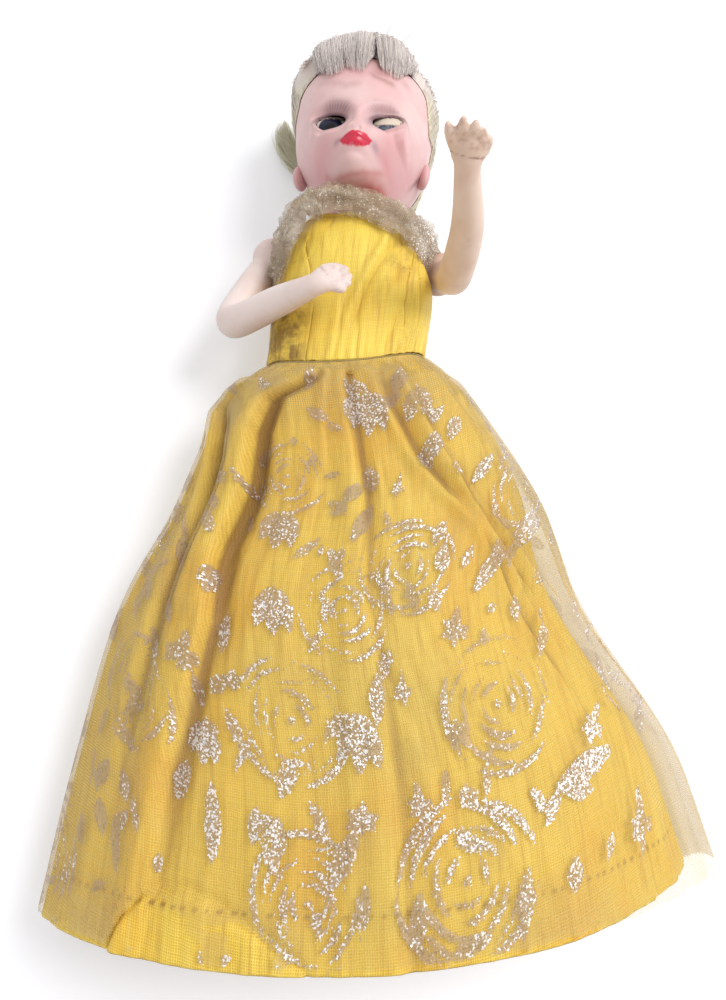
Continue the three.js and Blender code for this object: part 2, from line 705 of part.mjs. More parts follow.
// Legs: rows hold y, the middle's x, half width, half depth and the middle's height.
function makeLeg(name, side) {
  const sections = [
    [hipY + hipBallRadius * 0.85, legX, 4, 4.4, axisZ],
    [hipY + 3, legX, 7, 7.8, axisZ],
    [hipY - 4, legX, 7.6, 8.2, axisZ],
    [(hipY + kneeY) / 2, legX - 0.3, (hipBallRadius + kneeRadius) / 2 - 0.5, (hipBallRadius + kneeRadius) / 2, axisZ],
    [kneeY, legX - 0.8, kneeRadius, kneeRadius + 0.3, axisZ],
    [calfY, legX - 0.9, calfRadius - 0.3, calfRadius, axisZ - 0.8],
    [(calfY + ankleY) / 2, legX - 1.2, (calfRadius + ankleRadius) / 2, (calfRadius + ankleRadius) / 2, axisZ - 0.8],
    [ankleY, legX - 1.3, ankleRadius, ankleRadius + 0.3, axisZ - 1],
    [soleY + 2, legX - 1.3, ankleRadius - 0.2, ankleRadius, axisZ - 1],
  ];
  const dropAt = (y) => legDrop * Math.max(0, hipY - y) / (hipY - soleY);
  const rings = followSections(sections, legFaces[1]).map((row) => ringAround(legFaces[0], (a) => new THREE.Vector3(
    side * (row[1] + row[2] * Math.cos(a)), row[0], row[4] - dropAt(row[0]) + row[3] * Math.sin(a),
  )));
  let leg = loft(rings);
  const seat = side * legSeatX;
  const far = side * 60;
  const keep = block(Math.min(seat, far), Math.max(seat, far), -200, 60, -20, 60);
  leg = leg.add(rodX(hipBallRadius, seat, side * (legX + 4.6), hipY, axisZ, 22));
  const footHeight = (z) => 3.4 + 5.2 * (1 - smoothStep(heelZ + 2, toeZ - 3, z));
  const foot = followSections([
    [heelZ, 1.6], [heelZ + 2, footHalfWidth - 1], [heelZ + 9, footHalfWidth - 0.7], [toeZ - 5, footHalfWidth], [toeZ, 1.4],
  ], 8).map((row) => ringAround(12, (a) => {
    const height = footHeight(row[0]) * (row[1] < 2 ? 0.6 : 1);
    const lift = Math.max(0, height * 0.5 * (1 + 1.12 * Math.sin(a)));
    return new THREE.Vector3(side * (legX - 1) + row[1] * Math.cos(a), soleY + lift, row[0] - legDrop);
  }));
  leg = leg.add(loft(foot)).intersect(keep);
  leg = leg.subtract(pinPocket(side, legSeatX, armPinDepth, hipY));
  add(`leg_${name}`, leg, plastic);
}

// Bodice: a fitted tube cut into a front and two back panels. Rows hold y, half width, back height,
// front height, skew and bow.
const bodiceSections = [
  [skirtTopY + bodiceHemGap, bodiceHemHalfWidth, bodiceHemBack, bodiceHemFront, waistSkew, waistBow],
  [10, (bodiceHemHalfWidth + bodiceHalfWidth) / 2, bodiceBack + 0.2, bodiceFront - 1, waistSkew * 0.4, 1.4],
  [bustY, bodiceHalfWidth, bodiceBack, bodiceFront, 0, 0],
  [shoulderY - 2, bodiceHalfWidth - 0.5, bodiceBack + 0.1, bodiceFront, 0, 0],
  [bodiceTopY, bodiceTopHalfWidth, bodiceBack + 1.8, bodiceFront - 1, 0, 0],
];

function bodiceRings(inset) {
  return followSections(bodiceSections, bodiceFaces[1]).map(([y, halfWidth, back, front, skew, bow]) => (
    ringAround(bodiceFaces[0], (a) => new THREE.Vector3(
      (halfWidth - inset) * Math.cos(a),
      y + skew * Math.cos(a) - bow * Math.sin(a) ** 2,
      (front + back) / 2 + ((front - back) / 2 - inset) * Math.sin(a),
    ))));
}

function makeBodice() {
  let layer = sleeve(bodiceRings(0), bodiceRings(bodiceWall));
  for (const side of [-1, 1]) {
    layer = layer.subtract(rodX(armholeRadius, side * 8, side * 40, shoulderY, axisZ, 24));
  }
  const sideSeam = axisZ - 1;
  const half = seamOpening / 2;
  const cutFront = block(-60, 60, -80, 80, -60, sideSeam + half);
  const cutBack = block(-60, 60, -80, 80, sideSeam - half, 90);
  add('bodice_front', layer.subtract(cutFront), satin);
  const back = layer.subtract(cutBack);
  add('bodice_back_left', back.subtract(block(-60, half, -80, 80, -60, 90)), satin);
  add('bodice_back_right', back.subtract(block(-half, 60, -80, 80, -60, 90)), satin);
}

// Skirt: each ring runs round the skirt from the doll's left over the front. Rows hold y, reach to
// the right and left, back height, front height, skew, bow and edge height.
const skirtSections = [
  [skirtTopY, skirtWaistHalfWidth, skirtWaistHalfWidth, skirtWaistBack, skirtWaistFront, waistSkew, waistBow,
    waistEdge],
  [(skirtTopY + puffY) / 2, (skirtWaistHalfWidth + puffRight) / 2 + 1, (skirtWaistHalfWidth + puffLeft) / 2 + 1,
    skirtWaistBack * 0.4, (skirtWaistFront + puffFront) / 2, puffSkew, waistBow * 0.8, sideEdge + 0.6],
  [puffY, puffRight, puffLeft, 0, puffFront, puffSkew, waistBow * 0.5, sideEdge - 1],
  [upperY, upperRight, upperLeft, 0, upperFront, puffSkew + 0.5, hemBow * 0.3, sideEdge - 3.5],
  [kneeLineY, kneeLineRight, kneeLineLeft, 0, kneeLineFront, skirtSkew * 0.55, hemBow * 0.55, hemEdge + 1.4],
  [lowerY, lowerRight, lowerLeft, 0, lowerFront, skirtSkew * 0.8, hemBow * 0.8, hemEdge + 0.5],
  [hemY, hemRight, hemLeft, 0, hemFront, skirtSkew, hemBow, hemEdge],
];

// Main folds, from the doll's left to its right. A line holds shares of the skirt's length, each with
// the fold's angle round the ring there. Widths are angles to each side of the crest, heights and
// depths are shares of the fold height, and the valley lies beside the crest.
const folds = [
  { line: [[0, 0.8], [0.36, 0.86], [0.45, 0.78], [0.6, 0.56], [1, 0.3]], widths: [0.09, 0.09],
    height: [[0, 0.05], [0.34, 0.38], [0.5, 0.4], [0.7, 0.16], [1, 0.06]],
    depth: [[0.1, 0], [0.38, 0.25], [0.6, 0.22], [1, 0]], valleyAt: 0.12, valleyWidth: 0.05 },
  { line: [[0, 1.15], [0.36, 1.2], [0.435, 1.17], [0.522, 1.05], [0.59, 0.83], [0.66, 0.66], [0.8, 0.55], [1, 0.5]],
    widths: [0.06, 0.07], height: [[0, 0.06], [0.3, 0.31], [0.4, 0.53], [0.58, 0.53], [0.72, 0.28], [1, 0.12]],
    depth: [[0.1, 0], [0.36, 0.25], [0.5, 0.34], [0.65, 0.25], [0.8, 0.06], [1, 0]], valleyAt: 0.09, valleyWidth: 0.05 },
  { line: [[0, 1.4], [0.38, 1.41], [0.458, 1.34], [0.51, 1.21], [0.56, 1.03], [0.62, 0.9], [0.8, 0.74], [1, 0.7]],
    widths: [0.05, 0.06], height: [[0, 0.06], [0.3, 0.25], [0.4, 0.44], [0.6, 0.41], [0.75, 0.22], [1, 0.1]],
    depth: [[0.1, 0], [0.36, 0.22], [0.5, 0.31], [0.65, 0.22], [0.8, 0.06], [1, 0]], valleyAt: 0.075, valleyWidth: 0.045 },
  { line: [[0, 1.56], [0.2, 1.57], [0.37, 1.626], [0.46, 1.62], [0.53, 1.596], [0.6, 1.561], [0.68, 1.527], [0.75, 1.536],
      [0.81, 1.556], [1, 1.548]],
    widths: [0.03, 0.1], height: [[0, 0.1], [0.3, 0.28], [0.45, 0.31], [0.7, 0.25], [1, 0.25]],
    depth: [[0, 0.06], [0.3, 0.25], [0.5, 0.28], [0.6, 0.12], [1, 0.06]], valleyAt: 0.045, valleyWidth: 0.04 },
  { line: [[0, 1.8], [0.32, 1.85], [0.345, 2], [0.37, 2.2], [0.42, 2.262], [0.5, 2.235], [0.58, 2.25], [0.68, 2.175],
      [0.75, 2.22], [0.83, 2.27], [1, 2.28]],
    widths: [0.04, 0.17], height: [[0, 0], [0.33, 0.38], [0.4, 1], [0.6, 1], [0.8, 0.69], [0.95, 0.16]],
    depth: [[0.3, 0], [0.38, 0.75], [0.52, 0.94], [0.62, 0.56], [0.75, 0.25], [1, 0.06]], valleyAt: 0.1,
    valleyWidth: 0.06 },
  { line: [[0, 2.2], [0.3, 2.62], [0.36, 2.83], [0.45, 2.62], [0.55, 2.54], [0.7, 2.52], [1, 2.6]], widths: [0.05, 0.12],
    height: [[0, 0], [0.3, 0.31], [0.38, 0.69], [0.6, 0.5], [0.8, 0.25], [1, 0.12]],
    depth: [[0.3, 0], [0.38, 0.5], [0.5, 0.56], [0.62, 0.25], [1, 0]], valleyAt: 0.1, valleyWidth: 0.06 },
  { line: [[0, 2.75], [0.4, 2.93], [0.6, 2.9], [1, 2.88]], widths: [0.07, 0.1],
    height: [[0, 0], [0.34, 0.25], [0.45, 0.5], [0.65, 0.38], [1, 0.16]], depth: [[0, 0], [1, 0]], valleyAt: 0.1,
    valleyWidth: 0.05 },
];

// The value at a share along rows of [share, value].
function between(rows, share) {
  if (share <= rows[0][0]) return rows[0][1];
  for (let i = 1; i < rows.length; i++) {
    const [from, first] = rows[i - 1];
    const [to, second] = rows[i];
    if (share <= to) return first + ((second - first) * (share - from)) / (to - from);
  }
  return rows[rows.length - 1][1];
}

function foldRise(angle, share) {
  let rise = 0;
  for (const { line, widths, height, depth, valleyAt, valleyWidth } of folds) {
    const away = angle - between(line, share);
    rise += between(height, share) * bump(away, widths[away < 0 ? 0 : 1]);
    rise -= between(depth, share) * bump(away + valleyAt, valleyWidth);
  }
  return foldHeight * rise * smoothStep(0, 0.06, share);
}

// Angles of a ring's points: over the front they keep to the folds' valleys and crests, with even
// steps in the wider spaces, so that few faces hold the folds.
function ringAngles(share) {
  const kept = [];
  for (const { line, widths, valleyAt } of folds) {
    const crest = between(line, share);
    kept.push(crest - valleyAt, crest, crest + widths[1]);
  }
  for (let i = 1; i < kept.length; i++) kept[i] = Math.max(kept[i], kept[i - 1] + leastFoldStep);
  for (let i = kept.length - 1; i >= 0; i--) {
    kept[i] = Math.min(kept[i], (i + 1 < kept.length ? kept[i + 1] : Math.PI) - leastFoldStep);
  }
  const first = kept[0];
  const ring = [0, first / 2];
  kept.forEach((angle, i) => {
    ring.push(angle);
    if (openAfter.includes(i)) ring.push((angle + kept[i + 1]) / 2);
  });
  const under = skirtFaces[0] - ring.length;
  for (let i = 0; i < under; i++) ring.push(Math.PI * (1 + i / under));
  return ring;
}

function skirtRing(row, share, inset) {
  const [y, right, left, back, front, skew, bow, edge] = row;
  const swing = (left - right) / 2;
  const halfWidth = (left + right) / 2;
  const low = Math.max(back, 0) + inset;
  const edgeZ = low + Math.max(edge - inset, 0.8);
  const flat = smoothStep(0, 0.3, share); // round at the waist, lying flat below it
  return ringAngles(share).map((a) => {
    const across = Math.cos(a);
    const over = a <= Math.PI;
    const rise = over ? foldRise(a, share) : 0;
    const top = edgeZ + (front - inset - edgeZ) * Math.abs(Math.sin(a)) ** (1 - 0.1 * flat) + rise * Math.sin(a);
    const sag = (1 + 0.3 * flat) * Math.abs(Math.sin(a)) ** (1 - 0.5 * flat);
    const under = Math.max(low, edgeZ - (edgeZ - low) * sag);
    return new THREE.Vector3(
      swing + (halfWidth + rise * 0.5) * across - inset * across ** 3,
      y + skew * across - bow * (1 - across * across) - waistStagger * inset * (1 - flat),
      over ? top : under,
    );
  });
}

function skirtRings(inset) {
  const steps = skirtFaces[1];
  return followSections(skirtSections, steps).map((row, i) => skirtRing(row, i / steps, inset));
}

function makeSkirt() {
  add('skirt_overlay', sleeve(skirtRings(0), skirtRings(overlayWall)), brocade);
  const liningAt = overlayWall + layerGap;
  add('skirt_lining', sleeve(skirtRings(liningAt), skirtRings(liningAt + liningWall)), satin);
}

// Stole: a gathered band of net round the neck and over both shoulders.
function makeStole() {
  const around = 22;
  const rings = [];
  for (let i = 0; i < around; i++) {
    const a = (2 * Math.PI * i) / around;
    const gather = 1 + 0.14 * Math.sin(7 * a);
    const middle = new THREE.Vector3(
      stoleReach * Math.cos(a),
      bodiceTopY + seatGap + stoleHalfThickness * 1.2,
      axisZ + 0.7 + stoleDepth * Math.sin(a),
    );
    const out = new THREE.Vector3(Math.cos(a), 0, Math.sin(a));
    const up = new THREE.Vector3(0, 1, 0);
    rings.push(ringAround(8, (b) => middle.clone()
      .addScaledVector(out, stoleHalfWidth * gather * Math.cos(b))
      .addScaledVector(up, stoleHalfThickness * gather * Math.sin(b))));
  }
  add('shoulder_stole', closedLoft(rings), net);
}

makeHead();
makeEye(1, 'left', eyeClosedLeft);
makeEye(-1, 'right', eyeClosedRight);
makeWig();
makeTorso();
makeStringing();
makeArm('left', 1, [
  [armSeatX + 3, shoulderY, axisZ],
  [20.9, 22, 20.5],
  [20.8, 16.2, 30],
  [20.9, 15.8, 42.5],
  [18.9, 17, 54.5],
  [18.8, 17.8, 58],
  [19.1, 18.2, 60],
], new THREE.Vector3(0, 1, 0), [
  [[17.2, 18.1, 59], [16.7, 18.5, 63.8]],
  [[18.6, 18.2, 59], [18.9, 18.6, 63.2]],
  [[20, 18.2, 58.8], [20.3, 18.5, 61.9]],
  [[21.1, 18.1, 58.2], [21.6, 18.4, 60.6]],
], [[16.8, 17.7, 56.8], [14.2, 18.4, 62.6]]);
makeArm('right', -1, [
  [-armSeatX - 3.2, shoulderY, axisZ],
  [-22.8, 18.6, 15],
  [-25, 8.8, 16.8],
  [-14.4, 8.1, 26.2],
  [-7, 7.5, 33],
  [-4.2, 9, 34],
  [-2.5, 9.3, 34.2],
], new THREE.Vector3(0, 0, 1), [
  [[-3.6, 11.2, 33.8], [-0.4, 11.4, 33.6]],
  [[-3.2, 9.8, 34], [0.5, 9.7, 33.7]],
  [[-3.2, 8.4, 34], [0.4, 8.1, 33.7]],
  [[-3.4, 7, 33.8], [-0.5, 6.6, 33.6]],
], [[-5.8, 9.8, 33.2], [-2.4, 12.6, 33.5]]);
makeLeg('left', 1);
makeLeg('right', -1);
makeBodice();
makeSkirt();
makeStole();

// The doll is centred over the origin, with its lowest point on the table.
const bounds = new THREE.Box3().setFromObject(doll);
const middle = bounds.getCenter(new THREE.Vector3());
doll.position.set(-middle.x, -middle.y, -bounds.min.z);

export default doll;
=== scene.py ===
import bpy
import math
import numpy as np
from mathutils import Matrix, Vector


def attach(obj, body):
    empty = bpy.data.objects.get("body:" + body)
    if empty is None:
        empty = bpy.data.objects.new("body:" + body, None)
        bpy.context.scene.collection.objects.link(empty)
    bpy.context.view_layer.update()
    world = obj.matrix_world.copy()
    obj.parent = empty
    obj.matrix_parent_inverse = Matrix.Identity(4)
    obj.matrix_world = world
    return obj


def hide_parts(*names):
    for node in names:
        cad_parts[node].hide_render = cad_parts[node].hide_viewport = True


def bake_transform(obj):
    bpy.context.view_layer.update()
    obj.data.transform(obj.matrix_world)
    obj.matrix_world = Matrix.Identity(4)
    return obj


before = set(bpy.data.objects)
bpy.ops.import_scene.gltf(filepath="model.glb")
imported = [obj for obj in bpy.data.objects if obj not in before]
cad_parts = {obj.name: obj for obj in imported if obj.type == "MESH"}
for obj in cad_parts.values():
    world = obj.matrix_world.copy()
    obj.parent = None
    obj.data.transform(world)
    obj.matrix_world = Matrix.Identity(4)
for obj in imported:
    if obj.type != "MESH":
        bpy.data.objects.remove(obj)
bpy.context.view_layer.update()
mm = 0.001
rowShift = np.array([-15.5, 10.238, 0.0])  # from the layout about the waist to the row frame
axisZ = 14.5  # height of the neck, shoulder and hip axes


def toRow(points):
    return (np.asarray(points, float) + rowShift) * mm


# Mesh helpers

def smoothStep(low, high, value):
    t = np.clip((value - low) / (high - low), 0, 1)
    return t * t * (3 - 2 * t)


def bump(x, width):
    return np.exp(-(x * x) / (width * width))


def follow(sections, share):
    # the curve through rows of numbers, at any share of its length
    rows = np.asarray(sections, float)
    count = len(rows)
    p = (count - 1) * np.clip(share, 0, 1)
    i = np.minimum(np.floor(p).astype(int), count - 2)
    w = (p - i)[..., None]
    a = np.where((i > 0)[..., None], rows[np.maximum(i - 1, 0)], 2 * rows[0] - rows[1])
    d = np.where((i + 2 < count)[..., None], rows[np.minimum(i + 2, count - 1)], 2 * rows[-1] - rows[-2])
    b, c = rows[i], rows[i + 1]
    t0, t1 = (c - a) / 2, (d - b) / 2
    return b + t0 * w + (-3 * b + 3 * c - 2 * t0 - t1) * w ** 2 + (2 * b - 2 * c + t0 + t1) * w ** 3


def softNoise(x, y, z=0.0, seed=1, octaves=3):
    # smooth value noise from a hashed lattice, about -1 to 1
    x, y, z = np.broadcast_arrays(np.asarray(x, float), np.asarray(y, float), np.asarray(z, float))
    total = np.zeros(x.shape)
    size = 1.0
    for octave in range(octaves):
        px, py, pz = x * 2 ** octave, y * 2 ** octave, z * 2 ** octave
        ix, iy, iz = (np.floor(v).astype(np.int64) for v in (px, py, pz))
        fx, fy, fz = (v - w for v, w in ((px, ix), (py, iy), (pz, iz)))
        fx, fy, fz = (v * v * (3 - 2 * v) for v in (fx, fy, fz))
        value = np.zeros(x.shape)
        for dx in (0, 1):
            for dy in (0, 1):
                for dz in (0, 1):
                    h = ((ix + dx) * 374761393 + (iy + dy) * 668265263 + (iz + dz) * 2147483647
                         + (seed * 31 + octave) * 1274126177) & 0xFFFFFFFF
                    h = ((h ^ (h >> 13)) * 1103515245) & 0xFFFFFFFF
                    h = (h ^ (h >> 16)) & 0xFFFF
                    weight = (fx if dx else 1 - fx) * (fy if dy else 1 - fy) * (fz if dz else 1 - fz)
                    value += weight * (h / 32767.5 - 1)
        total += value * size
        size *= 0.5
    return total / (2 - 0.5 ** (octaves - 1))


def meshOf(name, points, faces, material, marks=None, smooth=True):
    # points in the row frame; marks are values kept on each point, one number or a vector
    mesh = bpy.data.meshes.new(name)
    points = np.asarray(points, float).reshape(-1, 3)
    faces = np.asarray(faces, np.int32)
    mesh.vertices.add(len(points))
    mesh.vertices.foreach_set("co", points.astype(np.float32).ravel())
    size = faces.shape[1]
    mesh.loops.add(faces.size)
    mesh.loops.foreach_set("vertex_index", faces.ravel())
    mesh.polygons.add(len(faces))
    mesh.polygons.foreach_set("loop_start", np.arange(len(faces), dtype=np.int32) * size)
    mesh.update(calc_edges=True)
    mesh.polygons.foreach_set("use_smooth", [smooth] * len(faces))
    for key, value in (marks or {}).items():
        value = np.asarray(value, np.float32).ravel()
        vector = value.size == 3 * len(points)
        attribute = mesh.attributes.new(key, "FLOAT_VECTOR" if vector else "FLOAT", "POINT")
        attribute.data.foreach_set("vector" if vector else "value", value)
    mesh.validate()
    mesh.materials.append(material)
    piece = bpy.data.objects.new(name, mesh)
    bpy.context.scene.collection.objects.link(piece)
    return piece


def gridFaces(rows, columns, closed=False, keep=None):
    i, j = np.meshgrid(np.arange(rows - 1), np.arange(columns if closed else columns - 1), indexing="ij")
    k = (j + 1) % columns
    faces = np.stack([i * columns + j, i * columns + k, (i + 1) * columns + k, (i + 1) * columns + j], -1)
    faces = faces.reshape(-1, 4)
    return faces if keep is None else faces[keep.ravel()]


def ballGrid(rows, columns, pole=0.01):
    # the angle from the pole and the angle round it, as two grids
    return np.meshgrid(np.linspace(pole, np.pi - pole, rows),
                       np.linspace(0, 2 * np.pi, columns, endpoint=False), indexing="ij")


def tubes(paths, radii, sides=5):
    # one mesh of many thin tubes; each path is rows of points
    points, faces, along = [], [], []
    start = 0
    turn = np.linspace(0, 2 * np.pi, sides, endpoint=False)
    for number, (path, radius) in enumerate(zip(paths, radii)):
        path = np.asarray(path, float)
        count = len(path)
        radius = np.broadcast_to(radius, count)
        way = np.gradient(path, axis=0)
        way /= np.linalg.norm(way, axis=1, keepdims=True) + 1e-12
        guide = np.array([0.31, 0.22, 0.93]) if abs(way[0] @ [0.31, 0.22, 0.93]) < 0.9 else np.array([1.0, 0, 0])
        first = guide - (way @ guide)[:, None] * way
        first /= np.linalg.norm(first, axis=1, keepdims=True)
        second = np.cross(way, first)
        ring = path[:, None] + radius[:, None, None] * (
            np.cos(turn)[None, :, None] * first[:, None] + np.sin(turn)[None, :, None] * second[:, None])
        points.append(ring.reshape(-1, 3))
        i, j = np.meshgrid(np.arange(count - 1), np.arange(sides), indexing="ij")
        k = (j + 1) % sides
        faces.append(start + np.stack([i * sides + j, i * sides + k, (i + 1) * sides + k, (i + 1) * sides + j],
                                      -1).reshape(-1, 4))
        caps = np.arange(sides)
        for at, order in ((0, caps[::-1]), (count - 1, caps)):
            base = start + at * sides
            for t in range(1, sides - 2, 2):
                faces.append(base + order[[0, t, t + 1, t + 2]][None])
            if sides % 2:
                faces.append(base + order[[0, sides - 2, sides - 1, sides - 1]][None])
        along.append(np.stack([np.full(count * sides, number), np.repeat(np.linspace(0, 1, count), sides),
                               np.zeros(count * sides)], -1))
        start += count * sides
    return np.concatenate(points), np.concatenate(faces), np.concatenate(along)


# Shader helpers

def newGroup(name, inputs, outputs):
    group = bpy.data.node_groups.new(name, "ShaderNodeTree")
    for label, kind, value in inputs:
        made = group.interface.new_socket(name=label, in_out="INPUT", socket_type="NodeSocket" + kind)
        if value is not None:
            made.default_value = value
    for label, kind in outputs:
        group.interface.new_socket(name=label, in_out="OUTPUT", socket_type="NodeSocket" + kind)
    return group, group.nodes.new("NodeGroupInput"), group.nodes.new("NodeGroupOutput")


class Wiring:
    # shorthand for wiring nodes: each call makes one node and returns its first output
    def __init__(self, tree):
        self.tree, self.nodes, self.links = tree, tree.nodes, tree.links

    def put(self, socket, value):
        if isinstance(value, bpy.types.NodeSocket):
            self.links.new(value, socket)
        else:
            socket.default_value = value

    def math(self, operation, a, b=0.0, c=None, clamp=False):
        node = self.nodes.new("ShaderNodeMath")
        node.operation, node.use_clamp = operation, clamp
        self.put(node.inputs[0], a)
        self.put(node.inputs[1], b)
        if c is not None:
            self.put(node.inputs[2], c)
        return node.outputs[0]

    def times(self, a, b, clamp=False):
        return self.math("MULTIPLY", a, b, clamp=clamp)

    def plus(self, a, b, clamp=False):
        return self.math("ADD", a, b, clamp=clamp)

    def minus(self, a, b, clamp=False):
        return self.math("SUBTRACT", a, b, clamp=clamp)

    def vector(self, operation, a, b=(0, 0, 0)):
        node = self.nodes.new("ShaderNodeVectorMath")
        node.operation = operation
        self.put(node.inputs[0], a)
        self.put(node.inputs[1], b)
        return node.outputs[0]

    def mix(self, factor, a, b, blend="MIX"):
        node = self.nodes.new("ShaderNodeMix")
        node.data_type, node.blend_type = "RGBA", blend
        self.put(node.inputs["Factor"], factor)
        self.put(node.inputs["A"], a)
        self.put(node.inputs["B"], b)
        return node.outputs["Result"]

    def step(self, value, low, high, toMin=0.0, toMax=1.0):
        node = self.nodes.new("ShaderNodeMapRange")
        node.interpolation_type = "SMOOTHSTEP"
        for socket, number in zip(node.inputs[:5], (value, low, high, toMin, toMax)):
            self.put(socket, number)
        return node.outputs["Result"]

    def noise(self, place, scale, detail=2.0, roughness=0.5, color=False):
        node = self.nodes.new("ShaderNodeTexNoise")
        self.put(node.inputs["Vector"], place)
        self.put(node.inputs["Scale"], scale)
        self.put(node.inputs["Detail"], detail)
        self.put(node.inputs["Roughness"], roughness)
        return node.outputs["Color" if color else "Fac"]

    def cells(self, place, scale, output="Color"):
        node = self.nodes.new("ShaderNodeTexVoronoi")
        self.put(node.inputs["Vector"], place)
        self.put(node.inputs["Scale"], scale)
        return node.outputs[output]

    def mark(self, name, output="Fac"):
        node = self.nodes.new("ShaderNodeAttribute")
        node.attribute_name = name
        return node.outputs[output]

    def split(self, vector):
        node = self.nodes.new("ShaderNodeSeparateXYZ")
        self.put(node.inputs[0], vector)
        return node.outputs

    def join(self, x, y, z=0.0):
        node = self.nodes.new("ShaderNodeCombineXYZ")
        for socket, value in zip(node.inputs, (x, y, z)):
            self.put(socket, value)
        return node.outputs[0]

    def place(self):
        return self.nodes.new("ShaderNodeTexCoord").outputs["Object"]

    def use(self, group, **values):
        node = self.nodes.new("ShaderNodeGroup")
        node.node_tree = group
        self.give(node, **values)
        return node.outputs

    def give(self, node, **values):
        for key, value in values.items():
            self.put(node.inputs[key], value)

    def bump(self, height, strength, distance, normal=None):
        node = self.nodes.new("ShaderNodeBump")
        self.put(node.inputs["Height"], height)
        node.inputs["Strength"].default_value = strength
        node.inputs["Distance"].default_value = distance
        if normal is not None:
            self.links.new(normal, node.inputs["Normal"])
        return node.outputs["Normal"]


def newMaterial(name):
    made = bpy.data.materials.new(name)
    made.use_nodes = True
    return made, Wiring(made.node_tree), made.node_tree.nodes["Principled BSDF"]


def linear(red, green, blue):
    # a colour as seen on screen, 0 to 255, made linear
    seen = (red, green, blue)
    return tuple(v / 255 / 12.92 if v <= 10 else ((v / 255 + 0.055) / 1.055) ** 2.4 for v in seen) + (1,)


# Camera, lamps, floor

camera = {
    "place": (-9.45, -68.589, 145.48), "yaw": -0.02, "pitch": 69.03, "roll": 4.85, "focal": 0.70575,
    "sensor": 36.0, "near": 0.002, "far": 20,
}


def makeCamera(c):
    yaw, pitch, roll = (math.radians(c[k]) for k in ("yaw", "pitch", "roll"))
    ahead = Vector((math.sin(yaw) * math.cos(pitch), math.cos(yaw) * math.cos(pitch), -math.sin(pitch)))
    side = Vector((math.cos(yaw), -math.sin(yaw), 0))
    up = side.cross(ahead)
    right = math.cos(roll) * side + math.sin(roll) * up
    top = -math.sin(roll) * side + math.cos(roll) * up
    data = bpy.data.cameras.new("photo_camera")
    data.sensor_fit, data.sensor_width = "AUTO", c["sensor"]
    data.lens = c["focal"] * c["sensor"]
    data.clip_start, data.clip_end = c["near"], c["far"]
    made = bpy.data.objects.new("photo_camera", data)
    bpy.context.scene.collection.objects.link(made)
    turn = Matrix((right, top, -ahead)).transposed().to_4x4()
    made.matrix_world = Matrix.Translation(Vector(c["place"]) * mm) @ turn
    bpy.context.scene.camera = made


makeCamera(camera)

stageLook = {
    "floorSize": 6.0, "floorGap": 0.0002, "floorColor": (0.80, 0.80, 0.815, 1),
    "floorShade": (0.772, 0.772, 0.80685, 1),
    "glow": 0.27, "skyLevel": 0.76,
    "keyPlace": (0.42, 0.16, 0.62), "keySize": 0.34, "keyPower": 3.3, "keyAim": (0, 0, 0.02),
}


def addLamp(name, place, size, power, aim):
    data = bpy.data.lights.new(name, "AREA")
    data.shape, data.size, data.energy = "DISK", size, power
    lamp = bpy.data.objects.new(name, data)
    bpy.context.scene.collection.objects.link(lamp)
    lamp.location = place
    lamp.rotation_mode = "QUATERNION"
    lamp.rotation_quaternion = (Vector(aim) - Vector(place)).to_track_quat("-Z", "Y")


def showsBackground(w):
    # 1 for what the camera sees directly, in a mirror or through glass
    path = w.nodes.new("ShaderNodeLightPath").outputs
    seen = w.math("MAXIMUM", path["Is Camera Ray"], path["Is Glossy Ray"])
    return w.math("MAXIMUM", seen, path["Is Transmission Ray"])


def makeStage(s):
    world = bpy.data.worlds.new("pale_room")
    bpy.context.scene.world = world
    world.use_nodes = True
    w = Wiring(world.node_tree)
    back = w.nodes["Background"]
    back.inputs["Color"].default_value = (1, 0.995, 1, 1)
    w.put(back.inputs["Strength"], w.math("MULTIPLY_ADD", showsBackground(w), 1 - s["skyLevel"], s["skyLevel"]))

    half = s["floorSize"] / 2
    mesh = bpy.data.meshes.new("floor")
    mesh.from_pydata([(-half, -half, 0), (half, -half, 0), (half, half, 0), (-half, half, 0)], [], [(0, 1, 2, 3)])
    floor = bpy.data.objects.new("floor", mesh)
    floor.location.z = -s["floorGap"]
    bpy.context.scene.collection.objects.link(floor)
    look, w, shader = newMaterial("floor_sheet")
    shader.inputs["Roughness"].default_value = 0.9
    shader.inputs["Specular IOR Level"].default_value = 0.1
    w.put(shader.inputs["Base Color"], w.mix(w.noise(w.place(), 9, 3), s["floorColor"], s["floorShade"]))
    shader.inputs["Emission Color"].default_value = (1, 1, 1, 1)
    w.put(shader.inputs["Emission Strength"], w.times(showsBackground(w), s["glow"]))
    mesh.materials.append(look)
    addLamp("window_light", s["keyPlace"], s["keySize"], s["keyPower"], s["keyAim"])


makeStage(stageLook)
bpy.context.scene.view_settings.view_transform = "Standard"
print("camera, lamps and floor ready")


# Shader node groups

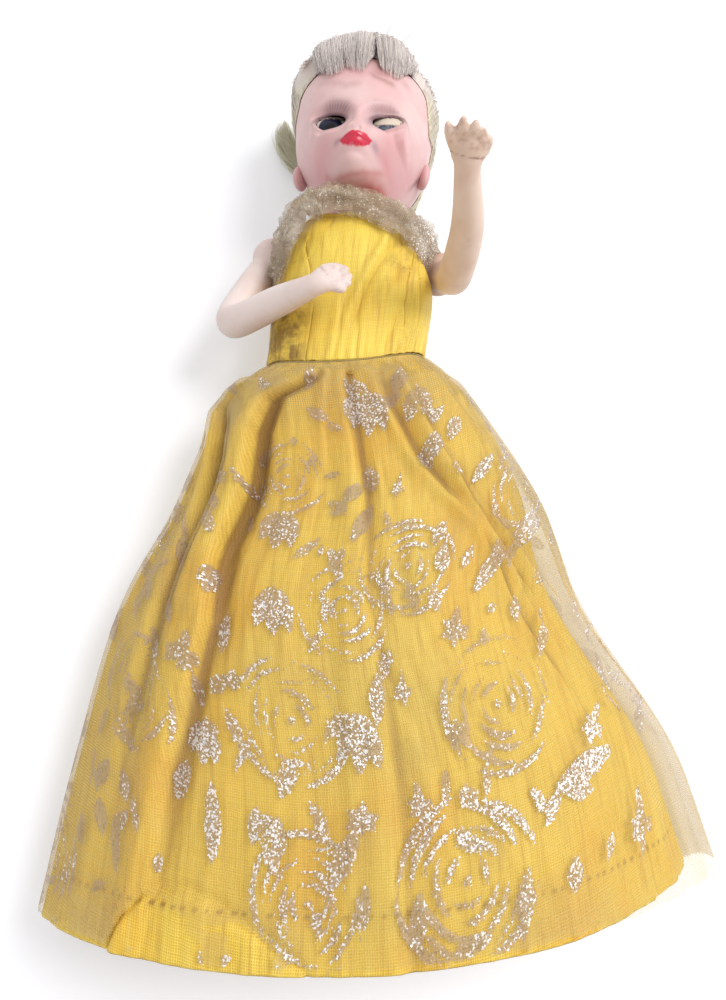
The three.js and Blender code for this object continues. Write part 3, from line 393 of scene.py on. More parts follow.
def weaveGroup():
    # plain weave from cloth coordinates in millimetres
    group, inside, outside = newGroup("plainWeave", [
        ("Cloth", "Vector", None), ("Pitch", "Float", 0.45), ("Uneven", "Float", 0.5),
    ], [("Height", "Float"), ("Cover", "Float"), ("Slub", "Float")])
    w = Wiring(group)
    cloth, pitch = inside.outputs["Cloth"], inside.outputs["Pitch"]
    wander = w.noise(cloth, 0.35, 2)
    x, y, _ = w.split(cloth)
    x = w.math("MULTIPLY_ADD", w.minus(wander, 0.5), inside.outputs["Uneven"], x)
    y = w.math("MULTIPLY_ADD", w.minus(wander, 0.5), inside.outputs["Uneven"], y)
    turn = w.math("DIVIDE", 2 * math.pi, pitch)
    across = w.math("SINE", w.times(x, turn))
    down = w.math("SINE", w.times(y, turn))
    half = w.times(turn, 0.5)
    over = w.times(w.math("SINE", w.times(x, half)), w.math("SINE", w.times(y, half)))
    height = w.plus(w.times(w.math("MAXIMUM", across, down), 0.7), w.times(over, 0.3))
    cover = w.step(w.math("MAXIMUM", across, down), -0.5, 0.5)
    weft = w.noise(w.join(w.times(x, 0.05), w.times(y, 2.6)), 1.0, 3)
    warp = w.noise(w.join(w.times(x, 2.2), w.times(y, 0.04), 7.0), 1.0, 3)
    slub = w.plus(w.times(weft, 0.6), w.times(warp, 0.4))
    w.give(outside, Height=height, Cover=cover, Slub=slub)
    return group


def metalThreadGroup():
    # the woven pattern: ragged along the warp, speckled with dark gaps and with glints painted as bright specks
    group, inside, outside = newGroup("metalThread", [
        ("Cloth", "Vector", None), ("Pattern", "Float", 0), ("Glint", "Float", 0.5), ("Grain", "Float", 3.2),
    ], [("Mask", "Float"), ("Color", "Color"), ("Spark", "Float"), ("Height", "Float")])
    w = Wiring(group)
    cloth = inside.outputs["Cloth"]
    x, y, _ = w.split(cloth)
    teeth = w.noise(w.join(w.times(x, 2.4), w.times(y, 0.7)), 1.0, 2)
    crumbs = w.noise(cloth, inside.outputs["Grain"], 2)
    edge = w.plus(inside.outputs["Pattern"], w.times(w.minus(teeth, 0.5), 1.1))
    edge = w.plus(edge, w.times(w.minus(crumbs, 0.5), 0.7))
    mask = w.step(edge, 0.44, 0.60)
    cell = w.cells(cloth, w.times(inside.outputs["Grain"], 1.25))
    value = w.split(cell)[0]
    # painted glints: bright specks where the cell value passes the Glint threshold
    spark = w.minus(1.12, inside.outputs["Glint"])
    bright = w.step(value, spark, w.plus(spark, 0.12))
    dark = w.step(w.split(cell)[1], 0.22, 0.10)
    tan = w.mix(w.noise(cloth, 0.25, 2), (0.42, 0.28, 0.13, 1), (0.62, 0.49, 0.36, 1))
    silver = w.mix(bright, tan, (0.88, 0.85, 0.84, 1))
    color = w.mix(w.times(dark, 0.55), silver, (0.20, 0.17, 0.14, 1))
    w.give(outside, Mask=mask, Color=color, Spark=bright, Height=value)
    return group


def dollPlasticGroup():
    # moulded plastic: mottled colour, darkened towards Grime where Low is set, fine scratches and pits
    group, inside, outside = newGroup("mouldedPlastic", [
        ("Place", "Vector", None), ("Color", "Color", (0.7, 0.5, 0.4, 1)), ("Grime", "Color", (0.3, 0.15, 0.1, 1)),
        ("Low", "Float", 0), ("Mottle", "Float", 0.3),
    ], [("Color", "Color"), ("Roughness", "Float"), ("Height", "Float")])
    w = Wiring(group)
    place = inside.outputs["Place"]
    broad = w.noise(place, 90, 3)
    fine = w.noise(place, 700, 3, 0.6)
    scratch = w.noise(w.vector("MULTIPLY", place, (1, 0.12, 1)), 2600, 2, 0.6)
    tint = w.times(w.minus(w.plus(broad, w.times(fine, 0.3)), 0.65), inside.outputs["Mottle"])
    shade = w.mix(w.step(tint, 0.0, 0.25), inside.outputs["Color"],
                  w.mix(0.35, inside.outputs["Color"], inside.outputs["Grime"]))
    low = w.times(inside.outputs["Low"], w.plus(0.6, w.times(fine, 0.6)), clamp=True)
    color = w.mix(low, shade, inside.outputs["Grime"])
    rough = w.plus(0.36, w.times(fine, 0.22))
    height = w.plus(w.times(fine, 0.5), w.times(w.step(scratch, 0.62, 0.72), -0.6))
    w.give(outside, Color=color, Roughness=rough, Height=height)
    return group


def hairGroup():
    # colour along each lock of hair: strand by strand, with painted shade darkening it towards the root
    group, inside, outside = newGroup("hairColor", [
        ("Strand", "Vector", None), ("Light", "Color", (0.8, 0.75, 0.6, 1)), ("Dark", "Color", (0.4, 0.33, 0.3, 1)),
    ], [("Color", "Color"), ("Height", "Float")])
    w = Wiring(group)
    number, along, _ = w.split(inside.outputs["Strand"])
    own = w.noise(w.join(w.times(number, 17.13), 0.0), 1.0, 0)
    patch = w.noise(w.join(w.times(number, 0.021), w.times(along, 1.5)), 1.0, 2)
    # painted shade: darker near the root
    root = w.step(along, 0.0, 0.3, 0.30, 0.0)
    factor = w.plus(w.plus(w.step(own, 0.3, 0.75, 0, 0.6), root), w.step(patch, 0.45, 0.75, 0, 0.5),
                    clamp=True)
    color = w.mix(factor, inside.outputs["Light"], inside.outputs["Dark"])
    w.give(outside, Color=color, Height=w.noise(w.join(w.times(along, 9.0), number), 1.0, 2))
    return group


groups = {"weave": weaveGroup(), "metal": metalThreadGroup(), "plastic": dollPlasticGroup(), "hair": hairGroup()}
print("node groups ready")


# Skirt: satin lining and a sheer brocade overlay, both shaped by one surface

skirt = {
    "sections": [  # y, reach right and left, back and front height, skew, bow, edge height
        [1.3, 16.4, 16.4, 2.1, 26, 2.9, 5.5, 12.3], [-2.85, 21.95, 23.45, 0.84, 27.5, 3, 4.4, 9.6],
        [-7, 25.5, 28.5, 0, 29, 3, 2.75, 8], [-28.5, 30.5, 43.2, 0, 29.5, 3.5, 2.4, 5.5],
        [-50, 38.5, 51.5, 0, 30.5, 4.4, 4.4, 3.6], [-74, 41.5, 67, 0, 31, 6.4, 6.4, 2.7],
        [-96.5, 43, 74, 0, 31.5, 8, 8, 2.2],
    ],
    "folds": [  # path of (share, angle), width before and after, (share, height), valley depth and offset
        {"path": [(0, 1.8), (0.32, 1.85), (0.345, 2.0), (0.37, 2.2), (0.42, 2.262), (0.5, 2.235), (0.58, 2.25),
                  (0.68, 2.175), (0.75, 2.22), (0.83, 2.27), (1, 2.28)],
         "before": 0.034, "after": 0.17,
         "height": [(0, 0), (0.33, 1.2), (0.4, 3.2), (0.6, 3.2), (0.8, 2.2), (0.95, 0.5)],
         "valley": [(0.3, 0), (0.38, 2.4), (0.52, 3.0), (0.62, 1.8), (0.75, 0.8), (1, 0.2)],
         "offset": 0.085, "spread": 0.06},
        {"path": [(0, 2.2), (0.3, 2.62), (0.36, 2.83), (0.45, 2.62), (0.55, 2.54), (0.7, 2.52), (1, 2.6)],
         "before": 0.05, "after": 0.12,
         "height": [(0, 0), (0.3, 1.0), (0.38, 2.2), (0.6, 1.6), (0.8, 0.8), (1, 0.4)],
         "valley": [(0.3, 0), (0.38, 1.6), (0.5, 1.8), (0.62, 0.8), (1, 0)],
         "offset": 0.10, "spread": 0.06},
        {"path": [(0, 2.75), (0.4, 2.93), (0.6, 2.9), (1, 2.88)],
         "before": 0.07, "after": 0.10,
         "height": [(0, 0), (0.34, 0.8), (0.45, 1.6), (0.65, 1.2), (1, 0.5)],
         "valley": [(0, 0), (1, 0)],
         "offset": 0.1, "spread": 0.05},
        {"path": [(0, 1.56), (0.2, 1.57), (0.37, 1.626), (0.46, 1.62), (0.53, 1.596), (0.6, 1.561), (0.68, 1.527),
                  (0.75, 1.536), (0.81, 1.556), (1, 1.548)],
         "before": 0.016, "after": 0.10,
         "height": [(0, 0.3), (0.3, 0.9), (0.45, 1.0), (0.7, 0.8), (0.9, 0.7), (1, 0.8)],
         "valley": [(0, 0.2), (0.3, 0.8), (0.5, 0.9), (0.6, 0.4), (1, 0.2)],
         "offset": 0.045, "spread": 0.04},
        {"path": [(0, 1.4), (0.38, 1.41), (0.458, 1.34), (0.51, 1.21), (0.56, 1.03), (0.62, 0.9), (0.8, 0.74),
                  (1, 0.7)],
         "before": 0.05, "after": 0.06,
         "height": [(0, 0.2), (0.3, 0.8), (0.4, 1.4), (0.6, 1.3), (0.75, 0.7), (1, 0.3)],
         "valley": [(0, 0), (0.36, 0.7), (0.5, 1.0), (0.65, 0.7), (0.8, 0.2), (1, 0)],
         "offset": 0.075, "spread": 0.045},
        {"path": [(0, 1.15), (0.36, 1.2), (0.435, 1.17), (0.522, 1.05), (0.59, 0.83), (0.66, 0.66), (0.8, 0.55),
                  (1, 0.5)],
         "before": 0.06, "after": 0.07,
         "height": [(0, 0.2), (0.3, 1.0), (0.4, 1.7), (0.58, 1.7), (0.72, 0.9), (1, 0.4)],
         "valley": [(0, 0), (0.36, 0.8), (0.5, 1.1), (0.65, 0.8), (0.8, 0.2), (1, 0)],
         "offset": 0.09, "spread": 0.05},
        {"path": [(0, 0.8), (0.36, 0.86), (0.45, 0.78), (0.6, 0.56), (1, 0.3)],
         "before": 0.09, "after": 0.09,
         "height": [(0, 0.1), (0.34, 1.2), (0.5, 1.3), (0.7, 0.5), (1, 0.2)],
         "valley": [(0, 0), (0.38, 0.8), (0.6, 0.7), (1, 0)],
         "offset": 0.12, "spread": 0.05},
        {"path": [(0, 1.72), (0.32, 1.74), (0.4, 1.79), (0.5, 1.80), (1, 1.82)],
         "before": 0.03, "after": 0.05,
         "height": [(0, 0.5), (0.3, 0.9), (0.4, 0.5), (0.55, 0.1), (1, 0)],
         "valley": [(0, 0), (1, 0)],
         "offset": 0.05, "spread": 0.04},
    ],
    "columns": 640, "rows": 250, "waveHeight": 0.55, "crease": 0.28, "liningInset": 0.38, "overlayOut": 0.12,
    "sheerStrip": 4.8, "hemTurn": 5.0, "pitch": 0.45,
}

# the woven pattern: (angle, share, size, turn) for roses; (angle, share, length, width, turn, kind) for the rest
roses = [
    (1.826, 0.775, 9.2, 0.3), (1.166, 0.768, 9.8, 1.2), (1.371, 0.613, 8.2, 0.2), (1.366, 0.927, 10.6, 2.0),
    (1.611, 0.665, 7.8, 2.6), (1.771, 0.940, 8.6, 1.7), (2.441, 0.755, 8.6, 0.9), (1.97, 0.49, 7.0, 2.2),
    (0.62, 0.50, 7.6, 0.4), (2.75, 0.56, 7.4, 1.4), (2.85, 0.93, 9.0, 0.7), (0.42, 0.74, 8.4, 2.3),
]
sprigs = [
    (1.936, 0.565, 7.6, 7.0, 0.1, "flame"), (1.876, 0.665, 9.0, 6.4, 0.0, "flame"),
    (0.94, 0.838, 13, 6.0, 1.45, "wing"),
    (0.78, 0.907, 11, 5.4, 0.1, "star"), (1.001, 0.62, 9.5, 3.6, 0.75, "leaf"), (1.216, 0.685, 7.8, 6.0, 0.3, "star"),
    (1.621, 0.797, 10, 6.4, 0.1, "flame"), (1.416, 0.505, 6, 3.4, 0.2, "star"), (1.50, 0.405, 9.5, 6.4, 0.2, "flame"),
    (1.18, 0.45, 8, 4, 0.8, "leaf"), (1.36, 0.385, 6.5, 3, 1.2, "leaf"), (2.42, 0.60, 7.5, 4, -0.5, "leaf"),
    (2.36, 0.665, 6, 3.4, -0.6, "leaf"), (2.40, 0.705, 6.5, 3.0, -0.4, "leaf"), (2.58, 0.64, 6, 3.4, -0.5, "leaf"),
    (2.29, 0.56, 5, 3.0, -0.5, "leaf"), (2.13, 0.55, 5, 2.4, -0.4, "leaf"), (2.02, 0.74, 4.0, 2.8, 0.0, "leaf"),
    (2.16, 0.75, 5.5, 2.0, -0.2, "leaf"), (2.12, 0.80, 7.0, 5.6, 0.1, "flame"), (2.47, 0.865, 11, 9.0, 0.0, "moth"),
    (2.40, 0.905, 9.0, 2.8, -0.25, "leaf"), (2.62, 0.90, 5.0, 3.0, -0.3, "leaf"),
    (2.22, 0.915, 3.0, 1.8, 0.0, "leaf"),
    (2.06, 0.87, 12, 3.2, -0.05, "leaf"), (1.93, 0.87, 6.0, 2.6, 0.1, "leaf"), (1.86, 0.885, 6.0, 2.6, -0.1, "leaf"),
    (1.63, 0.862, 5.4, 6.0, 0.1, "star"), (1.68, 0.90, 9.5, 3.4, 0.45, "leaf"), (1.63, 0.945, 7.0, 2.4, 0.1, "leaf"),
    (1.58, 0.56, 9.0, 3.0, 0.35, "leaf"), (1.66, 0.61, 7.0, 2.6, -0.45, "leaf"), (1.73, 0.49, 4.0, 1.6, 1.4, "leaf"),
    (1.73, 0.595, 3.0, 1.4, 0.2, "leaf"), (1.95, 0.995, 5.0, 6.0, 0.2, "star"), (2.08, 0.985, 9.0, 3.0, -0.7, "leaf"),
    (2.2, 0.985, 8.0, 3.0, -0.6, "leaf"), (1.48, 0.85, 7.6, 4.6, -0.1, "star"), (1.40, 0.84, 6.0, 1.8, 0.15, "leaf"),
    (1.50, 0.955, 7.0, 3.0, 0.05, "leaf"), (1.37, 0.985, 7.0, 2.8, 1.35, "leaf"),
    (0.93, 0.925, 4.6, 1.8, 0.4, "leaf"),
    (1.10, 0.88, 4.0, 1.8, 0.8, "leaf"), (1.22, 0.955, 10, 2.6, 0.2, "leaf"), (0.83, 0.80, 8.0, 5.4, 0.7, "star"),
    (0.84, 0.70, 9.6, 2.4, 0.5, "leaf"), (1.11, 0.70, 3.4, 1.8, 0.3, "leaf"), (1.03, 0.665, 2.4, 2.0, 0.0, "leaf"),
    (1.46, 0.745, 7.0, 4.0, 0.1, "star"), (1.55, 0.755, 9.0, 3.0, 0.2, "leaf"), (0.74, 0.56, 8, 3.0, 0.7, "leaf"),
    (0.9, 0.475, 7, 3.0, 0.9, "leaf"), (1.06, 0.40, 6, 2.6, 1.0, "leaf"), (2.9, 0.68, 8, 3.4, -0.3, "leaf"),
    (2.9, 0.80, 7, 5.0, 0.0, "star"), (2.72, 0.74, 6, 2.4, 0.3, "leaf"), (1.72, 0.70, 5.0, 1.6, 0.6, "leaf"),
    (1.95, 0.44, 2.4, 1.8, 0.0, "leaf"), (1.84, 0.47, 2.6, 2.0, 0.5, "leaf"), (1.28, 0.84, 5.0, 1.6, 0.1, "leaf"),
]


def skirtBase(angle, share):
    row = follow(skirt["sections"], share)
    y, right, left, back, front, skew, bow, edge = (row[..., k] for k in range(8))
    low = np.maximum(back, 0)
    edgeZ = low + np.maximum(edge, 0.8)
    flat = smoothStep(0, 0.3, share)
    steep, across = np.abs(np.sin(angle)), np.cos(angle)
    top = edgeZ + (front - edgeZ) * steep ** (1 - 0.1 * flat)
    under = np.maximum(low, edgeZ - (edgeZ - low) * (1 + 0.3 * flat) * steep ** (1 - 0.5 * flat))
    return np.stack([
        (left - right) / 2 + (left + right) / 2 * across,
        y + skew * across - bow * (1 - across * across),
        np.where(np.sin(angle) >= 0, top, under),
    ], -1)


def foldHeight(angle, share):
    rise = np.zeros(angle.shape)
    for fold in skirt["folds"]:
        at, where = zip(*fold["path"])
        away = angle - np.interp(share, at, where)
        height = np.interp(share, *zip(*fold["height"]))
        depth = np.interp(share, *zip(*fold["valley"]))
        rise += height * bump(away, np.where(away < 0, fold["before"], fold["after"]))
        rise -= depth * bump(away + fold["offset"], fold["spread"])
    lower = smoothStep(0.28, 0.5, share)
    wander = 0.25 * softNoise(angle * 3, share * 3, seed=5)
    waves = softNoise((angle + wander * 0.3) * 9, share * 1.6, seed=11) * skirt["waveHeight"]
    slant = np.where(angle < 1.5, 0.75, -0.25)
    creases = softNoise((angle + slant * share) * 27, share * 3.2, seed=23) * skirt["crease"]
    small = softNoise((angle + slant * share) * 70, share * 9, seed=31) * 0.07
    pucker = np.sin(angle * 34 + 3 * softNoise(angle * 6, 0, seed=41)) * 0.45
    pucker = pucker * bump(share, 0.22) * (1 - bump(share, 0.01))
    rise += (waves + creases) * lower + small + pucker
    return rise * smoothStep(-0.08, 0.3, np.sin(angle)) * smoothStep(0.0, 0.06, share)


def normalsOf(points):
    across, down = np.gradient(points, axis=1), np.gradient(points, axis=0)
    normal = np.cross(across, down)
    return normal / (np.linalg.norm(normal, axis=-1, keepdims=True) + 1e-9)


# radius, number of petals and width of stroke of each ring of a rose, for a rose of size 1
roseRings = [(0.95, 4, 0.058), (0.79, 4, 0.052), (0.61, 4, 0.05), (0.44, 3, 0.05), (0.27, 3, 0.052)]


def roseStrokes(x, y, size, turn, random):
    # petals drawn as tapering arcs round a small heart
    r, way = np.hypot(x, y) / size, np.arctan2(y, x) + turn
    drawn = np.zeros(x.shape)
    for radius, petals, width in roseRings:
        start = random.uniform(0, 6.28)
        for petal in range(petals):
            middle = start + 2 * np.pi * petal / petals + random.uniform(-0.12, 0.12)
            span = np.pi / petals * random.uniform(0.72, 1.12)
            strength = random.uniform(0.55, 1.25)
            away = (way - middle + np.pi) % (2 * np.pi) - np.pi
            reach = np.clip(1 - (away / span) ** 2, 0, 1)
            tilt = random.uniform(-0.10, 0.10)
            line = np.abs(r - radius * (1 + tilt * away / span) - 0.03 * (1 - reach))
            drawn = np.maximum(drawn, strength * reach ** 0.5 * bump(line, width * (0.45 + 0.75 * reach)))
    return np.maximum(drawn, 0.9 * bump(r, 0.09))


def sprigStrokes(x, y, length, width, turn, kind):
    c, s = math.cos(turn), math.sin(turn)
    x, y = x * c - y * s, x * s + y * c

    def leaf(dx, dy, long, wide, lean):
        lc, ls = math.cos(lean), math.sin(lean)
        px, py = (x - dx) * lc - (y - dy) * ls, (x - dx) * ls + (y - dy) * lc
        side = wide / 2 * np.clip(1 - np.abs(py / (long / 2)) ** 1.7, 0, 1) ** 0.8
        return np.clip((side - np.abs(px)) / 0.7 + 0.3, 0, 1.15) * (np.abs(py) < long / 2)

    if kind == "leaf":
        return leaf(0, 0, length, width, 0)
    if kind == "flame":
        return np.maximum.reduce([leaf(0, 0, length, width * 0.55, 0),
                                  leaf(width * 0.3, -0.6, length * 0.85, width * 0.5, 0.3),
                                  leaf(-width * 0.3, -0.3, length * 0.9, width * 0.5, -0.25)])
    if kind == "star":
        return np.maximum.reduce([leaf(0, 0, length, width * 0.4, 0), leaf(0, length * 0.1, width, width * 0.42, 1.2),
                                  leaf(0, length * 0.05, width, width * 0.4, -1.1)])
    if kind == "wing":
        return np.maximum(leaf(0, 0, length, width * 0.7, 0),
                          leaf(-width * 0.35, length * 0.2, length * 0.5, width * 0.6, 0.5))
    return np.maximum.reduce([leaf(-width * 0.3, -length * 0.25, length * 0.5, width * 0.36, -0.5),
                              leaf(width * 0.3, -length * 0.25, length * 0.55, width * 0.36, 0.55),
                              leaf(-width * 0.32, length * 0.2, length * 0.45, width * 0.3, 0.8),
                              leaf(width * 0.22, length * 0.28, length * 0.5, width * 0.34, -0.35)])


def wovenPattern(across, along):
    random = np.random.default_rng(8)
    drawn = np.zeros(across.shape)

    def spot(a, s):
        i = int(round(s * (across.shape[0] - 1)))
        j = int(round((a + np.pi / 2) % (2 * np.pi) / (2 * np.pi) * (across.shape[1] - 1)))
        return across[i, j], along[i, j]

    placed = [(*spot(a, s), size, turn) for a, s, size, turn in roses]
    for row in range(5):
        for k in range(3):  # plainer rows of roses underneath
            a = 3.5 + 0.85 * k + 0.4 * (row % 2)
            if a < 6.1:
                placed.append((*spot(a, min(0.3 + 0.16 * row, 0.98)), 8.2, random.uniform(0, 6)))
    for x0, y0, size, turn in placed:
        near = (np.abs(across - x0) < size * 1.2) & (np.abs(along - y0) < size * 1.2)
        drawn[near] = np.maximum(drawn[near], roseStrokes(
            (across[near] - x0), (along[near] - y0) * 0.92, size, turn, random))
    for a, s, length, width, turn, kind in sprigs:
        x0, y0 = spot(a, s)
        near = (np.abs(across - x0) < 10) & (np.abs(along - y0) < 10)
        drawn[near] = np.maximum(drawn[near],
                                 sprigStrokes(across[near] - x0, along[near] - y0, length, width, turn, kind))
    for number in range(150):  # scattered leaves, fainter on the front
        a, s = random.uniform(3.3, 6.1) if number < 60 else random.uniform(0.35, 2.9), random.uniform(0.3, 0.98)
        x0, y0 = spot(a, s)
        near = (np.abs(across - x0) < 6) & (np.abs(along - y0) < 6)
        drawn[near] = np.maximum(drawn[near], (1 if number < 60 else 0.62) * sprigStrokes(
            across[near] - x0, along[near] - y0, random.uniform(4, 8), random.uniform(2, 4),
            random.uniform(-1, 1), "leaf"))
    return drawn


def clothCoordinates(points, middle):
    # distances over the cloth in millimetres, from the middle column and the first row
    across = np.cumsum(np.linalg.norm(np.diff(points, axis=1, prepend=points[:, :1]), axis=-1), axis=1)
    across -= across[:, middle:middle + 1]
    along = np.cumsum(np.linalg.norm(np.diff(points, axis=0, prepend=points[:1]), axis=-1), axis=0)
    return np.stack([across, along, np.zeros_like(along)], -1)


def makeSkirtSurface():
    share = np.linspace(0, 1, skirt["rows"])
    angle = np.linspace(-np.pi / 2, 1.5 * np.pi, skirt["columns"])  # the join is at the middle of the back
    angle, share = np.meshgrid(angle, share)
    turned = angle % (2 * np.pi)
    base = skirtBase(turned, share)
    normal = normalsOf(base)
    outward = np.sign(np.median(normal[..., 2][np.sin(angle) > 0.7]))
    normal = normal * outward
    rise = foldHeight(turned, share)
    return turned, share, base, normal, rise, clothCoordinates(base, skirt["columns"] // 2)


def blurAcross(values, reach):
    kernel = np.hanning(2 * reach + 3)[1:-1]
    kernel /= kernel.sum()
    padded = np.concatenate([values[:, -reach:], values, values[:, :reach]], axis=1)
    return np.stack([np.convolve(row, kernel, mode="valid") for row in padded])


def satinMaterial(name, pitch, weaveDepth, light, warm, dull):
    look, w, shader = newMaterial(name)
    cloth = w.mark("cloth", "Vector")
    weave = w.use(groups["weave"], Cloth=cloth, Pitch=pitch, Uneven=0.5)
    patch = w.noise(cloth, 0.055, 3)
    other = w.noise(w.vector("ADD", cloth, (41, 17, 5)), 0.035, 2)
    color = w.mix(w.step(patch, 0.45, 0.7), light, warm)
    color = w.mix(w.step(other, 0.5, 0.75, 0, 0.8), color, dull)
    color = w.mix(w.step(weave["Slub"], 0.36, 0.66, 0.20, 0), color, linear(196, 150, 30))
    streak = w.noise(w.vector("MULTIPLY", cloth, (1.1, 0.07, 1)), 1.0, 3)
    color = w.mix(w.step(streak, 0.48, 0.72, 0, 0.42), color, linear(184, 136, 58))
    color = w.mix(w.step(streak, 0.44, 0.30, 0, 0.35), color, linear(255, 232, 120))
    color = w.mix(w.times(w.minus(1.0, weave["Cover"]), 0.42), color, linear(176, 132, 26))
    # low: painted shade in the folds and pulls, and on the skirt a dashed dark seam line near the hem
    low = w.mark("low")
    color = w.mix(w.step(low, 0.05, 0.8, 0, 0.82), color, linear(142, 94, 38))
    # stainAndShade: painted shade on the bodice, under the right forearm and on the right of the front; brown patches
    # below the waist on the skirt
    stainAndShade = w.times(w.mark("stainAndShade"), w.step(w.noise(cloth, 0.3, 4, 0.65), 0.30, 0.62))
    color = w.mix(stainAndShade, color, linear(122, 82, 34))
    w.put(shader.inputs["Base Color"], color)
    w.put(shader.inputs["Roughness"], w.plus(0.40, w.times(weave["Slub"], 0.2)))
    shader.inputs["Sheen Weight"].default_value = 0.25
    shader.inputs["Sheen Roughness"].default_value = 0.35
    shader.inputs["Sheen Tint"].default_value = linear(255, 236, 150)
    shader.inputs["Anisotropic"].default_value = 0.4
    height = w.plus(w.times(weave["Height"], 0.6), weave["Slub"])
    w.put(shader.inputs["Normal"], w.bump(height, weaveDepth, 0.00012))
    return look


def brocadeMaterial():
    look, w, shader = newMaterial("sheer_brocade")
    cloth = w.mark("cloth", "Vector")
    weave = w.use(groups["weave"], Cloth=cloth, Pitch=skirt["pitch"], Uneven=0.8)
    metal = w.use(groups["metal"], Cloth=cloth, Pattern=w.mark("pattern"), Glint=w.mark("glint"), Grain=3.0)
    veil = w.plus(w.mark("veil"), w.step(w.noise(cloth, 0.09, 3), 0.5, 0.8, 0, 0.22))
    thread = w.mix(veil, linear(226, 198, 112), linear(188, 164, 128))
    thread = w.mix(w.step(w.noise(cloth, 0.7, 3), 0.55, 0.8, 0, 0.4), thread, linear(150, 120, 60))
    color = w.mix(metal["Mask"], thread, metal["Color"])
    # low: painted shade in the fold valleys
    color = w.mix(w.step(w.mark("low"), 0.05, 0.9, 0, 0.7), color, linear(128, 88, 50))
    w.put(shader.inputs["Base Color"], color)
    w.put(shader.inputs["Metallic"], w.times(metal["Mask"], 0.35))
    w.put(shader.inputs["Roughness"], w.minus(0.62, w.times(metal["Spark"], 0.3)))
    cover = w.math("MULTIPLY_ADD", weave["Cover"], 0.20, 0.10)
    body = w.plus(cover, w.times(veil, 0.62))
    body = w.math("MAXIMUM", body, w.times(metal["Mask"], w.math("MULTIPLY_ADD", metal["Spark"], 0.3, 0.64)))
    frayed = w.step(w.plus(w.noise(w.vector("MULTIPLY", cloth, (3.2, 0.5, 1)), 1.0, 2), w.mark("whole")), 0.55, 0.7)
    w.put(shader.inputs["Alpha"], w.times(body, frayed, clamp=True))
    raised = w.times(metal["Height"], w.times(metal["Mask"], 1.4))
    height = w.plus(w.times(weave["Height"], 0.5), raised)
    w.put(shader.inputs["Normal"], w.bump(height, 0.6, 0.00016))
    shader.inputs["Sheen Weight"].default_value = 0.15
    return look


